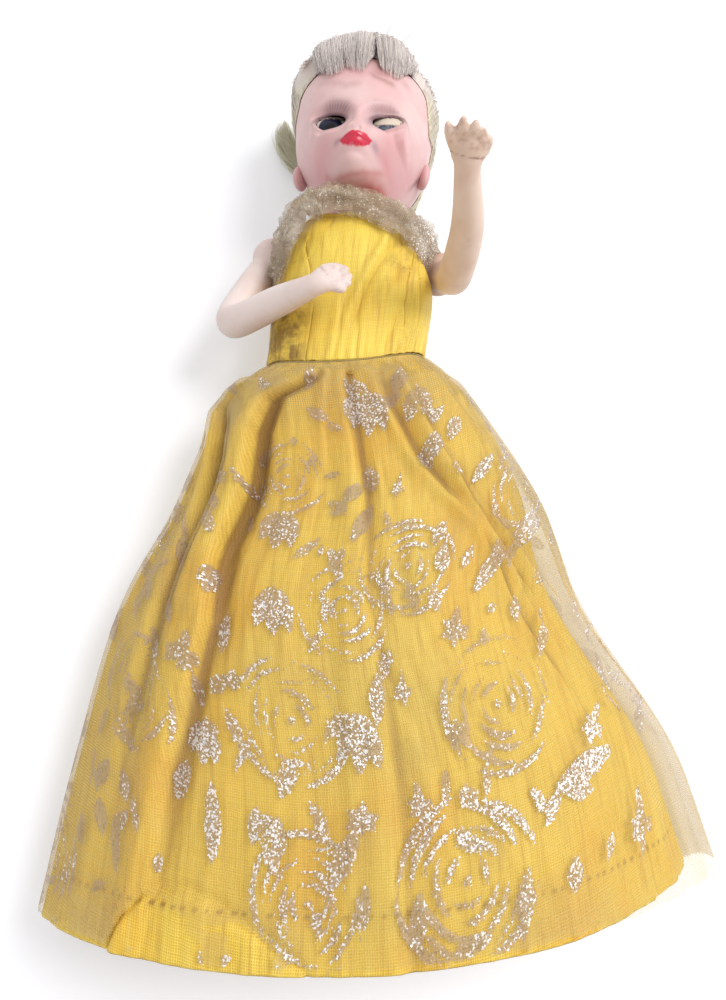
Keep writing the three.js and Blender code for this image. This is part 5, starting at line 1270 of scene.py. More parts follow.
def makeEye(name):
    e = eyes[name]
    t, a = ballGrid(eyes["rows"], eyes["columns"], 0.001)
    facing = np.stack([np.cos(a) * np.sin(t), np.sin(a) * np.sin(t), np.cos(t)], -1)  # open, looking along Z
    elevation = np.degrees(np.arcsin(np.clip(facing[..., 1], -1, 1)))
    away = np.where(facing[..., 2] > 0, np.hypot(np.degrees(head["eyeWide"] * facing[..., 0]), elevation), 180)
    lidEdge = eyes["lidAngle"] - 5.0 * np.abs(facing[..., 0]) ** 2
    lid = smoothStep(lidEdge - 0.6, lidEdge + 0.6, elevation) * (facing[..., 2] > -0.3)
    iris = smoothStep(eyes["irisAngle"] + 1.2, eyes["irisAngle"] - 1.2, away)
    pupil = smoothStep(eyes["pupilAngle"] + 1.0, eyes["pupilAngle"] - 1.0, away)
    ring = iris * smoothStep(eyes["irisAngle"] - 9, eyes["irisAngle"] - 2, away)
    ball = facing * (head["eyeRadius"] + 0.16 * lid + 0.06 * iris)[..., None]
    ball[..., 0] = np.clip(ball[..., 0] * head["eyeWide"], -head["eyeSide"], head["eyeSide"])
    centre = np.array([e["side"] * head["eyeX"], head["y"] - head["eyeDrop"], head["eyeCentreZ"]])
    look, w, shader = newMaterial("sleep_eye_" + name)
    place = w.place()
    white = w.mix(w.noise(place, 500, 3), linear(226, 218, 212), linear(200, 184, 180))
    spokes = w.step(w.noise(w.join(w.times(w.mark("spokes"), 26.0), 0.0), 1.0, 2), 0.35, 0.7)
    colored = w.mix(spokes, linear(*e["iris"]), tuple(0.5 * v for v in linear(*e["iris"])[:3]) + (1,))
    colored = w.mix(w.mark("ring"), colored, linear(*e["ring"]))
    colored = w.mix(w.mark("pupil"), colored, linear(12, 10, 14))
    color = w.mix(w.mark("iris"), white, colored)
    color = w.mix(w.mark("lid"), color, w.mix(w.noise(place, 350, 3), linear(230, 218, 200), linear(212, 192, 172)))
    color = w.mix(w.mark("lidLine"), color, linear(70, 52, 56))
    w.put(shader.inputs["Base Color"], color)
    w.put(shader.inputs["Roughness"], w.math("MULTIPLY_ADD", w.mark("lid"), 0.2, 0.30))
    w.put(shader.inputs["Normal"], w.bump(w.noise(place, 900, 2), 0.05, 0.0001))
    shader.inputs["Specular IOR Level"].default_value = 0.25
    # a dark lash line painted along the lid's edge, heavier on the right eye, where it also stands in for the shade
    # over the lid
    lidLine = bump(elevation - lidEdge, 1.5) * (facing[..., 2] > 0) * (0.8 if name == "right" else 0.3)
    piece = meshOf("sleep_eye_ball_" + name, toRow(turnHead(closeEye(ball, e["closed"]) + centre)),
                   gridFaces(eyes["rows"], eyes["columns"], closed=True), look, {
        "lid": lid, "iris": iris, "pupil": pupil, "ring": ring, "lidLine": lidLine, "spokes": a / (2 * np.pi),
    })
    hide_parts("eye_ball_" + name)
    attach(piece, "eye_" + name)

    # what is left of the lashes along the lid's edge
    random = np.random.default_rng(5 if name == "left" else 6)
    paths = []
    for _ in range(e["lashes"]):
        side = random.uniform(-0.62, 0.62)
        up = math.radians(eyes["lidAngle"] - 5.0 * side ** 2)
        root = np.array([side, math.sin(up), 0])
        root[2] = math.sqrt(max(1 - root[0] ** 2 - root[1] ** 2, 0.05))
        way = root + np.array([side * 0.35, random.uniform(-0.75, -0.35), 0.05])
        way /= np.linalg.norm(way)
        r = head["eyeRadius"]
        points = np.array([root * (r + 0.12), root * (r + 0.2) + way * 0.1,
                           root * (r + 0.1) + way * 0.4 - np.array([0, 0.45, 0])])
        paths.append(toRow(turnHead(closeEye(points, e["closed"]) + centre)))
    points, faces, along = tubes(paths, [np.array([0.055, 0.045, 0.015]) * mm] * len(paths), 5)
    lashLook, w, shader = newMaterial("eye_lash_" + name)
    # some lashes pale: painted highlights on the lashes
    pale = w.step(w.noise(w.vector("MULTIPLY", w.mark("strand", "Vector"), (3.7, 0.2, 0)), 1.0, 0), 0.5, 0.6)
    w.put(shader.inputs["Base Color"], w.mix(pale, linear(60, 44, 56), linear(190, 176, 184)))
    shader.inputs["Roughness"].default_value = 0.55
    lash = meshOf("eye_lashes_" + name, points, faces, lashLook, {"strand": along})
    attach(lash, "eye_" + name)


makeEye("left")
makeEye("right")
print("eyes ready")


# Hair: a cap combed from the crown, two tufts of fringe, and a loose lock

hair = {
    "crown": (0.1, 0.86, -0.50), "napeReach": -0.60, "radius": 0.11, "strands": 2900,
    "tuftStrands": (1700, 1300, 320),
    # where the hair begins above the face: (across, up) as directions from the middle of the head
    "hairline": [(-1.0, 0.16), (-0.93, 0.22), (-0.832, 0.30), (-0.797, 0.38), (-0.73, 0.48), (-0.62, 0.53),
                 (-0.515, 0.60),
                 (0, 0.66), (0.529, 0.65), (0.628, 0.61), (0.706, 0.575), (0.806, 0.45), (0.876, 0.33),
                 (0.931, 0.24), (1.0, 0.12)],
    "leftTuft": {
        "tips": [(-0.56, 0.52), (-0.52, 0.44), (-0.46, 0.38), (-0.37, 0.285), (-0.30, 0.265), (-0.235, 0.275),
                 (-0.17, 0.30),
                 (-0.114, 0.325), (-0.07, 0.29), (-0.02, 0.262), (0.055, 0.255), (0.085, 0.31), (0.105, 0.44),
                 (0.13, 0.60), (0.16, 0.70)],
        "roots": [(-0.44, 0.88, 0.10), (-0.08, 0.97, 0.05), (0.22, 0.96, 0.12)], "clumps": 9,
        "sweep": (0.0, -0.10, 0.0),
    },
    "rightTuft": {
        "tips": [(0.24, 0.40), (0.29, 0.345), (0.36, 0.315), (0.44, 0.295), (0.49, 0.305), (0.525, 0.40),
                 (0.56, 0.52), (0.61, 0.60)],
        "roots": [(0.02, 0.98, 0.14), (0.14, 0.96, 0.12), (0.48, 0.85, 0.15)], "clumps": 7,
        "sweep": (-0.12, 0.0, 0.06),
    },
    "middleTuft": {
        "tips": [(0.04, 0.62), (0.14, 0.64), (0.25, 0.60)],
        "roots": [(0.0, 0.98, 0.12), (0.12, 0.97, 0.12), (0.26, 0.95, 0.12)],
        "clumps": 2, "sweep": (0.0, 0.0, 0.0), "lift": 2.2,
    },
    "light": (246, 238, 230), "dark": (212, 198, 192), "sideLight": (238, 232, 202), "sideDark": (200, 190, 150),
    "lock": [(-9, 62.5, 3.2), (-15, 66.5, 3.4), (-19.6, 71, 3.2), (-22.6, 77, 2.9), (-24.2, 84, 2.2)],
    "lockRadius": 2.3,
    "lockStrands": 900,
}


def unit(v):
    return v / (np.linalg.norm(v, axis=-1, keepdims=True) + 1e-9)


def onSkull(direction, out):
    return headSkin(direction, False) + direction * np.asarray(out)[..., None]


def hairField(d):
    # above 0 where hair grows; it widens behind the face
    x, y, z = (d[..., k] for k in range(3))
    above = y - np.interp(x, *zip(*hair["hairline"]))
    behind = np.interp(y, [-0.6, 0.1, 0.35, 0.6], [-0.62, -0.42, -0.06, 0.45]) - z
    ears = np.hypot(np.hypot(np.abs(x) - 0.98, y + 0.13), z + 0.03) - 0.34
    grown = np.maximum(np.where(z > -0.05, above, -1), behind)
    return np.minimum(np.minimum(grown, (y - hair["napeReach"]) * 1.5), ears)


def puff(d):
    # how far the hair stands off the head
    x, y, z = (d[..., k] for k in range(3))
    out = 1.0 + 3.6 * smoothStep(0.42, 0.78, y) * smoothStep(-0.75, -0.1, z)
    out += 2.0 * bump(np.hypot((x + 0.60) / 0.22, (y - 0.58) / 0.2), 1) + 0.5 * smoothStep(-0.2, -0.7, z)
    out -= 1.2 * smoothStep(0.25, 0.6, x) * smoothStep(0.5, 0.7, y)
    return out + 0.3 * softNoise(x * 5, y * 5, z * 5, seed=4)


def hairMaterial(name, light, dark):
    look, w, shader = newMaterial(name)
    strand = w.use(groups["hair"], Strand=w.mark("strand", "Vector"), Light=linear(*light), Dark=linear(*dark))
    olive = w.mix(w.step(w.noise(w.vector("MULTIPLY", w.mark("strand", "Vector"), (0.9, 0.3, 0)), 1.0, 1), 0.4, 0.6),
                  linear(*hair["sideLight"]), linear(*hair["sideDark"]))
    w.put(shader.inputs["Base Color"], w.mix(w.mark("low"), strand["Color"], olive))
    w.put(shader.inputs["Roughness"], w.plus(0.42, w.times(strand["Height"], 0.2)))
    w.put(shader.inputs["Normal"], w.bump(strand["Height"], 0.2, 0.00006))
    shader.inputs["Sheen Weight"].default_value = 0.3
    return look


def oliveAt(d):
    # the hair is yellower low on both sides
    return 0.85 * smoothStep(0.62, 0.45, d[..., 1]) * smoothStep(0.35, 0.6, np.abs(d[..., 0]))


def makeHairPiece(name, node, paths, olive, look, random, body="head", turn=True):
    radii = [hair["radius"] * mm * random.uniform(0.7, 1.3) * np.linspace(1.0, 0.02, len(p)) ** 0.6 for p in paths]
    points, faces, along = tubes([toRow(turnHead(p) if turn else p) for p in paths], radii, 4)
    counts = [len(p) * 4 for p in paths]
    piece = meshOf(name, points, faces, look, {"strand": along, "low": np.repeat(olive, counts)})
    if node:
        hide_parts(node)
    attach(piece, body)
    return piece


def makeHairCap():
    rows, columns = 150, 280
    crown = unit(np.array(hair["crown"]))
    side = unit(np.cross(crown, [0, 0, 1.0]))
    front = np.cross(side, crown)

    def combed(t, a):
        around = np.cos(a)[..., None] * front + np.sin(a)[..., None] * side
        return np.cos(t)[..., None] * crown + np.sin(t)[..., None] * around

    t, a = ballGrid(rows, columns)
    d = combed(t, a)
    field = hairField(d)
    out = 0.12 + np.maximum(puff(d) - 0.7, 0.1) * smoothStep(0, 0.16, field)
    points = onSkull(d, out + 0.10 * softNoise(a * 22, t * 2, seed=3))
    points[..., 2] = np.maximum(points[..., 2], 0.4)
    inside = field > 0
    keep = inside[:-1] & inside[1:] & np.roll(inside, -1, 1)[:-1] & np.roll(inside, -1, 1)[1:]
    strand = np.stack([np.round(a * 60), t / np.pi, np.zeros_like(t)], -1)
    cap = meshOf("hair_cap", toRow(turnHead(points.reshape(-1, 3))), gridFaces(rows, columns, closed=True, keep=keep),
                 hairMaterial("hair_base", (232, 220, 212), (206, 190, 182)),
                 {"strand": strand, "low": oliveAt(d)})
    solidify(cap, 0.12)
    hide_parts("hair_wig")
    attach(cap, "head")

    random = np.random.default_rng(21)
    paths, olive = [], []
    for number in range(hair["strands"]):
        start = random.uniform(0.05, 1.5)
        t = np.linspace(start, min(start + random.uniform(0.9, 1.9), 3.0), 20)
        a = random.uniform(0, 2 * np.pi) + 0.05 * random.normal() * (t - start)
        a = a + 0.02 * np.sin(t * random.uniform(3, 7) + number)
        d = combed(t, a)
        field = hairField(d)
        last = len(t) if (field > 0).all() else int(np.argmin(field > 0))
        if last < 6:
            continue
        d, field = d[:last], field[:last]
        lift = random.uniform(-0.7, 0.15)
        if random.uniform() < 0.12:
            lift = lift + 0.5 * random.exponential(0.6) * np.linspace(0, 1, last)
        path = onSkull(d, 0.3 + np.maximum(puff(d) + lift, 0.2) * smoothStep(0, 0.2, field))
        path[:, 2] = np.maximum(path[:, 2], 0.3)
        paths.append(path)
        olive.append(float(oliveAt(d).mean()) * random.uniform(0.5, 1.2))
    makeHairPiece("hair_strands", None, paths, np.clip(olive, 0, 1),
                  hairMaterial("hair_combed", hair["light"], hair["dark"]), random)


def tuftPaths(tuft, count, random):
    # each strand runs over the top of the head from the parting down to the fringe's ragged edge
    tips = np.array([(x, y, math.sqrt(1 - x * x - y * y)) for x, y in tuft["tips"]])
    length = np.concatenate([[0], np.cumsum(np.linalg.norm(np.diff(tips, axis=0), axis=1))])
    length /= length[-1]
    paths = []
    for number in range(count):
        u = random.uniform(0, 1)
        clump = (np.floor(u * tuft["clumps"]) + 0.5) / tuft["clumps"]
        drawn = u + (clump - u) * random.uniform(0.05, 0.42)
        tip = unit(np.array([np.interp(drawn, length, tips[:, k]) for k in range(3)]))
        root = unit(follow(tuft["roots"], np.array([np.clip(u + random.normal() * 0.08, 0, 1)]))[0])
        layer = random.uniform(0, 1)
        short = 0.12 * abs(random.normal()) + 0.6 * max(0, layer - 0.5)
        t = np.linspace(0, 1, 26)
        middle = unit(0.45 * root + 0.55 * tip + np.array([np.interp(u, [0, 0.5, 1], tuft["sweep"]), 0.15, 0]))
        s = t * (1 - short * 0.6)
        d = unit(((1 - s) ** 2)[:, None] * root + (2 * s * (1 - s))[:, None] * middle + (s ** 2)[:, None] * tip)
        top = puff(d) + 0.3 + 0.5 * (layer - 0.5) + 0.12 * math.sin(u * tuft["clumps"] * 2 * math.pi)
        top = top + 0.25 * random.normal()
        edge = 0.55 + 1.1 * layer ** 2 + tuft.get("lift", 0)
        out = top + (edge - top) * smoothStep(0.45, 1.0, s)
        if number % 40 == 0:
            out = out + 1.3 * t ** 3
        paths.append(onSkull(d, out))
    return paths


def makeFringe():
    random = np.random.default_rng(33)
    paths = tuftPaths(hair["leftTuft"], hair["tuftStrands"][0], random)
    paths += tuftPaths(hair["rightTuft"], hair["tuftStrands"][1], random)
    paths += tuftPaths(hair["middleTuft"], hair["tuftStrands"][2], random)
    t = np.linspace(0, 1, 14)[:, None]
    for _ in range(110):  # wisps standing off at the left
        tip = unit(np.array([-0.60 + 0.05 * random.normal(), 0.60 + 0.05 * random.normal(), 0.5]))
        d = unit(tip * t + unit(np.array([-0.42, 0.85, 0.2])) * (1 - t))
        paths.append(onSkull(d, 2.2 + 2.6 * t[:, 0] * random.uniform(0.5, 1)))
    for _ in range(420):  # flyaway hairs over the top
        start = unit(np.array([random.uniform(-0.62, 0.62), 0.92, random.uniform(-0.2, 0.35)]))
        end = unit(start + np.array([0.22 * random.normal(), -0.05, 0.30 * random.normal()]))
        d = unit(start * (1 - t) + end * t)
        paths.append(onSkull(d, puff(d) + 0.1 + random.exponential(0.55) * t[:, 0] ** 1.5 * 2))
    makeHairPiece("hair_fringe_strands", "hair_fringe", paths, np.zeros(len(paths)),
                  hairMaterial("hair_front", (250, 242, 236), (216, 202, 197)), random)


def makeLock():
    random = np.random.default_rng(44)
    t = np.linspace(0, 1, 30)
    middle = follow(hair["lock"], t)
    way = unit(np.gradient(middle, axis=0))
    up = np.array([0, 0, 1.0])
    across = unit(np.cross(way, up))
    width = hair["lockRadius"] * np.interp(t, [0, 0.25, 0.6, 0.85, 1], [0.8, 1.0, 1.0, 0.85, 0.5])
    paths = []
    for number in range(hair["lockStrands"]):
        a, r = random.uniform(0, 2 * np.pi), math.sqrt(random.uniform(0, 1)) * (1 + 0.6 * (number % 5 == 0))
        twist = a + 0.9 * t + 0.35 * np.sin(5 * t + random.uniform(0, 6))
        loose = 1 + 0.2 * random.normal() * (1 + t)
        path = middle + across * (r * width * np.cos(twist) * loose)[:, None]
        path = path + np.outer(r * width * np.sin(twist) * 0.8, up)
        path[:, 2] = np.maximum(path[:, 2], 0.25)
        paths.append(path[:random.integers(18, 31)])
    makeHairPiece("hair_loose_lock", "hair_side_lock", paths, np.full(len(paths), 0.55),
                  hairMaterial("hair_lock", (216, 212, 188), (172, 164, 132)), random, turn=False)


makeHairCap()
makeFringe()
makeLock()
print("hair ready")


# Arms: one smooth moulded limb each, with a hand of joined fingers

arms = {
    "remesh": 0.34, "smooth": 5, "seat": 15.6, "ball": 4.8,
    "left": {
        "side": 1, "thin": (0, 1, 0), "elbow": 0.40, "bend": (0, -1.0, 0.2),
        "path": [(18.6, 27.6, 14.5), (20.9, 22, 20.5), (20.8, 16.2, 30), (20.9, 15.8, 42.5), (18.9, 17, 54.5),
                 (18.8, 17.8, 58), (19.1, 18.2, 60)],
        "fingers": [((17.2, 18.1, 58.2), (16.7, 18.5, 63.8)), ((18.6, 18.2, 58.2), (18.9, 18.6, 63.2)),
                    ((20, 18.2, 58.0), (20.3, 18.5, 61.9)), ((21.1, 18.1, 57.4), (21.6, 18.4, 60.6))],
        "thumb": ((17.0, 17.7, 56.2), (14.2, 18.4, 62.6)),
    },
    "right": {
        "side": -1, "thin": (0, 0, 1), "elbow": 0.34, "bend": (-0.6, 0.1, -0.7),
        "path": [(-18.8, 27.6, 14.5), (-22.8, 18.6, 15), (-25, 8.8, 16.8), (-14.4, 8.1, 26.2), (-7, 7.5, 33),
                 (-4.2, 9, 34), (-2.5, 9.3, 34.2)],
        "fingers": [((-4.2, 11.2, 33.8), (-0.4, 11.4, 33.6)), ((-4.0, 9.8, 34), (0.5, 9.7, 33.7)),
                    ((-4.0, 8.4, 34), (0.4, 8.1, 33.7)), ((-4.2, 7, 33.8), (-0.5, 6.6, 33.6))],
        "thumb": ((-6.4, 9.6, 33.0), (-2.4, 12.6, 33.5)),
    },
    "sizes": [(3.5, 3.5), (3.5, 3.5), (3.5, 3.5), (3.1, 3.1), (2.3, 2.12), (3.0, 1.6), (2.7, 1.1)],
    "finger": 0.9, "thumb": 1.0, "wrist": 0.80,
}


def sweep(path, sizes, thin, steps=60, around=24):
    # a closed limb along a curve, flattened along thin
    t = np.linspace(0, 1, steps)
    middle, size = follow(path, t), np.maximum(follow(sizes, t), 0.05)
    way = np.gradient(middle, axis=0)
    way /= np.linalg.norm(way, axis=1, keepdims=True)
    thin = np.array(thin, float)
    side = np.cross(way, thin)
    side /= np.linalg.norm(side, axis=1, keepdims=True) + 1e-9
    flat = np.cross(side, way)
    a = np.linspace(0, 2 * np.pi, around, endpoint=False)
    ring = middle[:, None] + size[:, None, :1] * np.cos(a)[None, :, None] * side[:, None] \
        + size[:, None, 1:] * np.sin(a)[None, :, None] * flat[:, None]
    points = np.concatenate([ring.reshape(-1, 3), middle[:1], middle[-1:]])
    quads = gridFaces(steps, around, closed=True)
    last, k = (steps - 1) * around, np.arange(around)
    n = (k + 1) % around
    first, end = len(points) - 2, len(points) - 1
    caps = np.concatenate([np.stack([k * 0 + first, n, k, k], -1),
                           np.stack([k * 0 + end, last + k, last + n, last + n], -1)])
    return points, quads, caps


def ballPoints(radius, centre, rows=24, columns=36):
    t, a = ballGrid(rows, columns)
    return (np.stack([np.sin(t) * np.cos(a), np.sin(t) * np.sin(a), np.cos(t)],
                     -1) * radius + np.array(centre)).reshape(-1, 3)


def joined(name, shapes, material, voxel, passes):
    # merges overlapping closed shapes into one smooth skin
    allPoints, allFaces, start = [], [], 0
    for points, faces in shapes:
        allPoints.append(points)
        allFaces += [tuple(dict.fromkeys(int(v) + start for v in face)) for face in faces]
        start += len(points)
    mesh = bpy.data.meshes.new(name)
    mesh.from_pydata(np.concatenate(allPoints) * mm + rowShift * mm, [], allFaces)
    piece = bpy.data.objects.new(name, mesh)
    bpy.context.scene.collection.objects.link(piece)
    remesh = piece.modifiers.new("moulded", "REMESH")
    remesh.mode, remesh.voxel_size = "VOXEL", voxel * mm
    soft = piece.modifiers.new("soft", "SMOOTH")
    soft.iterations, soft.factor = passes, 0.6
    result = bpy.data.meshes.new_from_object(piece.evaluated_get(bpy.context.evaluated_depsgraph_get()))
    points = np.empty(len(result.vertices) * 3)
    result.vertices.foreach_get("co", points)
    points = points.reshape(-1, 3) / mm - rowShift
    piece.modifiers.clear()
    piece.data = result
    result.name = name
    result.materials.clear()
    result.materials.append(material)
    result.polygons.foreach_set("use_smooth", [True] * len(result.polygons))
    return piece, points


def setPoints(piece, points):
    piece.data.vertices.foreach_set("co", toRow(points).astype(np.float32).ravel())
    piece.data.update()


def addMark(piece, key, value):
    attribute = piece.data.attributes.new(key, "FLOAT", "POINT")
    attribute.data.foreach_set("value", np.asarray(value, np.float32))


def makeArm(name, material):
    arm = arms[name]
    shapes = []
    limb = sweep(arm["path"], arms["sizes"], arm["thin"], 90, 32)
    shapes.append((limb[0], np.concatenate([limb[1], limb[2]])))
    ball = ballPoints(arms["ball"], arm["path"][0])
    rows, columns = 24, 36
    ballFaces = gridFaces(rows, columns, closed=True).tolist() + [tuple(range(columns))[::-1],
                                                                  tuple(range((rows - 1) * columns, rows * columns))]
    shapes.append((ball, ballFaces))
    for number, (root, tip) in enumerate([*arm["fingers"], arm["thumb"]]):
        radius = arms["thumb"] if number == 4 else arms["finger"]
        root, tip = np.array(root), np.array(tip)
        line = [root, root + (tip - root) * 0.35, root + (tip - root) * 0.72, tip]
        sizes = [(radius, radius)] * 3 + [(radius * 0.45, radius * 0.45)]
        part = sweep(line, sizes, arm["thin"], 20, 16)
        shapes.append((part[0], np.concatenate([part[1], part[2]])))
    piece, points = joined("doll_arm_" + name, shapes, material, arms["remesh"], arms["smooth"])
    side = arm["side"]
    low = np.zeros(len(points))
    path = follow(arm["path"], np.linspace(0, 1, 200))
    at = np.argmin(np.linalg.norm(points[:, None] - path[None], axis=2), axis=1) / 199
    points[:, 0] = np.where(at < 0.25, side * np.maximum(points[:, 0] * side, arms["seat"]), points[:, 0])
    wrist, elbow = at - arms["wrist"], at - arm["elbow"]
    crease = bump(wrist, 0.008) * 0.22 + bump(wrist + 0.035, 0.006) * 0.10
    inward = path[(at * 199).astype(int)] - points
    inward /= np.linalg.norm(inward, axis=1, keepdims=True) + 1e-9
    bendSide = np.clip(inward @ np.array(arm["bend"]), 0, 1)
    crease += bump(elbow, 0.02) * 0.35 * bendSide
    points += inward * crease[:, None]
    setPoints(piece, points)
    # darker in the wrist and elbow creases, in blotches on the hand and near the shoulder
    low += 0.8 * bump(wrist, 0.010) + 0.5 * bump(elbow, 0.025) * bendSide
    blotch = softNoise(*(points.T * 1.5), seed=8) + 0.5
    low += 0.35 * smoothStep(0.86, 0.93, at) * smoothStep(0.4, 0.9, blotch)
    low += 0.3 * smoothStep(0.16, 0.02, at)
    addMark(piece, "low", np.clip(low, 0, 1))
    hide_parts("arm_" + name)
    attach(piece, "arm_" + name)
    return piece


# the left arm is coloured darker and yellower than the right
paleArmLook = skinMaterial("pale_arm_plastic", linear(238, 222, 216), linear(228, 206, 198),
                           linear(190, 150, 136), 0.5, painted=False)
armLook = skinMaterial("arm_plastic", linear(228, 204, 188), linear(214, 182, 160), linear(150, 98, 72), 0.7,
                       painted=False)
makeArm("left", armLook)
makeArm("right", paleArmLook)
print("arms ready")


# Stole: three crumpled strips of metallic net round the neck, gathered over the left shoulder

stole = {
    "path": [  # x, y, z and width of the gathered band, from the right shoulder round the front to the back
        (-17.0, 20.4, 18.0, 7.6), (-16.6, 22.6, 21.2, 8.2), (-15.8, 25.8, 23.6, 8.2), (-14.4, 29.8, 25.2, 7.0),
        (-12.8, 33.0, 26.4, 5.2), (-8.6, 34.2, 27.9, 4.8), (-3.2, 33.8, 29.2, 4.4), (2.6, 32.9, 29.0, 4.4),
        (7.6, 31.8, 27.9, 5.0), (11.6, 30.9, 26.0, 5.6), (15.4, 29.8, 22.6, 6.0), (16.6, 30.6, 16.0, 5.0),
        (12.0, 33.2, 6.6, 4.4), (0.0, 34.2, 3.4, 4.4), (-12.0, 33.4, 6.4, 4.4), (-16.6, 31.4, 13.0, 4.4),
    ],
    "columns": 460, "rows": 26, "light": (222, 204, 178), "dark": (190, 168, 138), "axis": 14.5,
    "strips": [  # offset across and out, width times, crumple, cover of the net, seed
        (-0.15, -0.35, 1.50, 0.60, 0.58, 1), (0.20, 0.45, 1.05, 0.85, 0.38, 2), (-0.55, 0.10, 1.45, 0.70, 0.22, 3),
    ],
    "flat": (0.135, 0.011), "area": 0.00088,
}


def netMaterial():
    look, w, shader = newMaterial("metal_net")
    cloth = w.mark("cloth", "Vector")
    weave = w.use(groups["weave"], Cloth=cloth, Pitch=0.5, Uneven=0.9)
    cell = w.split(w.cells(cloth, 4.2))
    # painted glints: bright specks in the net's colour
    spark = w.step(w.plus(cell[0], w.times(w.mark("glint"), 0.16)), 0.94, 1.02)
    color = w.mix(w.step(w.noise(cloth, 0.25, 3), 0.35, 0.65), linear(*stole["light"]), linear(*stole["dark"]))
    color = w.mix(w.step(cell[1], 0.22, 0.12, 0, 0.35), color, linear(122, 100, 70))
    color = w.mix(spark, color, linear(250, 246, 240))
    # low: painted shade in the hollows of the crumples
    color = w.mix(w.step(w.mark("low"), 0.1, 0.9, 0, 0.45), color, linear(150, 122, 88))
    w.put(shader.inputs["Base Color"], color)
    w.put(shader.inputs["Metallic"], w.times(spark, 0.5))
    w.put(shader.inputs["Roughness"], w.minus(0.65, w.times(spark, 0.35)))
    cover = w.plus(w.times(weave["Cover"], 0.28), w.mark("cover"))
    ragged = w.step(w.plus(w.noise(w.vector("MULTIPLY", cloth, (1.6, 0.6, 1)), 1.0, 3), w.mark("whole")), 0.5, 0.7)
    w.put(shader.inputs["Alpha"], w.times(w.math("MAXIMUM", cover, w.times(spark, 0.9)), ragged, clamp=True))
    w.put(shader.inputs["Normal"], w.bump(w.plus(weave["Height"], cell[0]), 0.6, 0.00015))
    shader.inputs["Sheen Weight"].default_value = 0.2
    return look


def makeStole():
    look = netMaterial()
    pieces = []
    band = np.array([*stole["path"], stole["path"][0]])
    for number, (aside, out, wide, crumple, cover, seed) in enumerate(stole["strips"]):
        t, v = np.meshgrid(np.linspace(0, 1, stole["columns"]), np.linspace(-1, 1, stole["rows"]))
        row = follow(band, t)
        middle, half = row[..., :3], row[..., 3] / 2
        way = unit(np.gradient(middle, axis=1))
        normal = np.stack([middle[..., 0], -2.5 + 0 * t, middle[..., 2] - stole["axis"]], -1)
        normal = unit(normal - (normal * way).sum(-1, keepdims=True) * way)
        across = np.cross(normal, way)
        turn = 2 * np.pi * t
        loop = (np.cos(turn) * 4, np.sin(turn) * 4)
        pleat = np.sin(v * 4.2 + 2.4 * softNoise(*loop, seed=80 + seed) + seed)
        rough = softNoise(loop[0] * 2.2, loop[1] * 2.2, v * 1.1, seed=60 + seed)
        fine = softNoise(loop[0] * 6, loop[1] * 6, v * 2.6, seed=70 + seed)
        rise = crumple * (0.75 * pleat + 0.9 * rough + 0.45 * fine) + out + 0.5 * (1 - v * v)
        slide = half * (v * wide * (0.9 + 0.22 * softNoise(loop[0], loop[1], seed=90 + seed)) + aside)
        slide = slide + 0.45 * softNoise(loop[0] * 3, loop[1] * 3, v, seed=99 + seed)
        points = middle + normal * rise[..., None] + across * slide[..., None]
        points[:, -1] = points[:, 0]
        points[..., 2] = np.maximum(points[..., 2], 0.6)
        cloth = clothCoordinates(points, stole["columns"] // 2) + np.array([number * 40, number * 11, 0])
        whole = 1 - 0.8 * smoothStep(0.62, 1.0, np.abs(v) + 0.2 * fine)
        dense = cover * (0.86 + 0.3 * rough - 0.12 * pleat)
        # painted glints, most on the part over the left shoulder
        glint = 0.35 * softNoise(loop[0] * 2, loop[1] * 2, seed=31) + smoothStep(0.54, 0.62,
            t) * smoothStep(0.74, 0.66, t)
        piece = meshOf("net_stole_" + str(number + 1), toRow(points), gridFaces(*t.shape), look, {
            "cloth": cloth, "whole": whole, "cover": np.clip(dense, 0.05, 0.95),
            # low is painted shade in the crumples' hollows
            "low": np.clip(0.45 - 0.5 * pleat - 0.6 * rough, 0, 1) * 0.8, "glint": np.clip(glint, 0, 1),
        })
        if number == 0:
            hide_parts("shoulder_stole")
        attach(piece, "torso")
        pieces.append(piece)
    return pieces


stolePieces = makeStole()
print("stole ready")
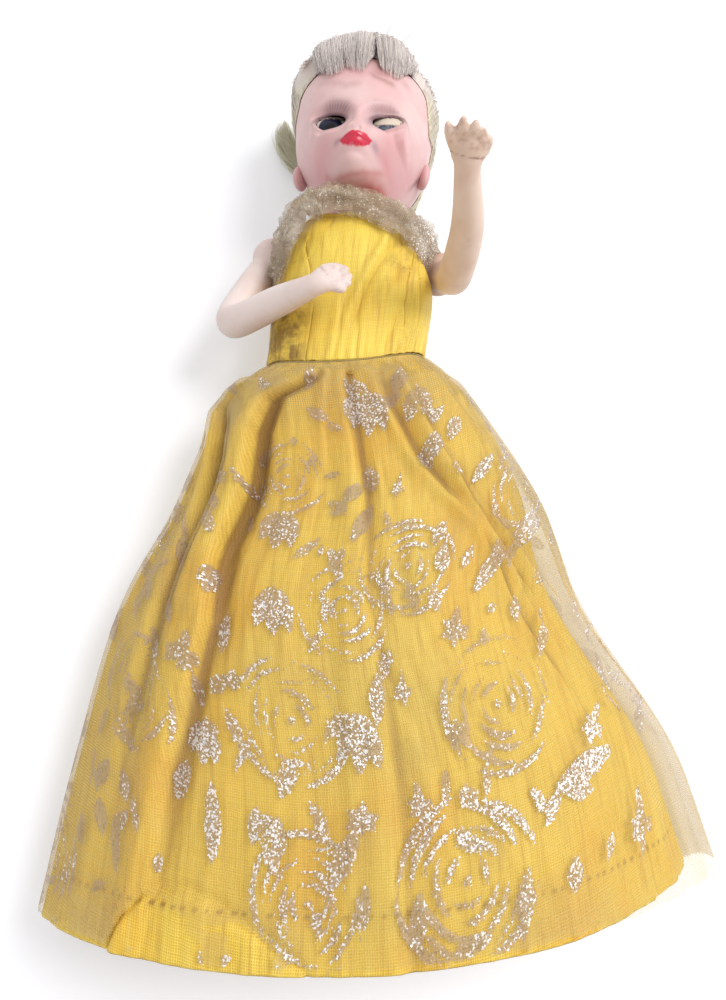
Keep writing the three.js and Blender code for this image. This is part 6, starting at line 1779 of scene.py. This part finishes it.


# Materials for what stays of the imported model; the skirt pieces' transforms baked into their meshes

def plainMaterial(name, c):
    # two colours and two roughnesses by one noise
    look, w, shader = newMaterial(name)
    worn = w.noise(w.vector("MULTIPLY", w.place(), c["stretch"]), *c["noise"])
    w.put(shader.inputs["Base Color"], w.mix(w.step(worn, *c["between"]), linear(*c["light"]), linear(*c["dark"])))
    w.put(shader.inputs["Roughness"], w.step(worn, *c["rough"]))
    shader.inputs["Metallic"].default_value = c["metallic"]
    if c["bump"]:
        w.put(shader.inputs["Normal"], w.bump(worn, 0.4, c["bump"]))
    return look


steel = {
    "stretch": (1, 1, 1), "noise": (900, 4, 0.6), "between": (0.5, 0.7), "light": (150, 148, 142),
    "dark": (104, 82, 62), "rough": (0.4, 0.7, 0.3, 0.6), "metallic": 0.9, "bump": 0,
}
lead = {
    "stretch": (1, 1, 1), "noise": (700, 4), "between": (0.4, 0.7), "light": (112, 114, 118),
    "dark": (150, 150, 148), "rough": (0.3, 0.7, 0.5, 0.75), "metallic": 0.6, "bump": 0.0002,
}
rubber = {
    "stretch": (1, 0.2, 1), "noise": (2200, 3), "between": (0.4, 0.7), "light": (196, 170, 130),
    "dark": (150, 118, 80), "rough": (0.3, 0.7, 0.6, 0.85), "metallic": 0, "bump": 0.0001,
}
bodyLook = skinMaterial("body_plastic", linear(226, 200, 184), linear(212, 180, 160), linear(150, 100, 76), 0.6,
                        painted=False)
keptLooks = [
    (bodyLook, ("torso_front_shell", "torso_back_shell", "leg_left", "leg_right")),
    (plainMaterial("hook_steel", steel), ("arm_hook_left", "arm_hook_right", "leg_hook_left", "leg_hook_right",
                                          "head_hook",
                       "eye_axle_left", "eye_axle_right", "eye_cradle_left", "eye_cradle_right")),
    (plainMaterial("lead_weight", lead), ("eye_weight_left", "eye_weight_right")),
    (plainMaterial("aged_rubber", rubber), ("arm_elastic", "head_and_leg_elastic")),
]
for look, names in keptLooks:
    for nodeName in names:
        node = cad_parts[nodeName]
        for place in node.material_slots:
            place.material = look

for piece in (skirtOverlay, skirtLining):
    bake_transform(piece)
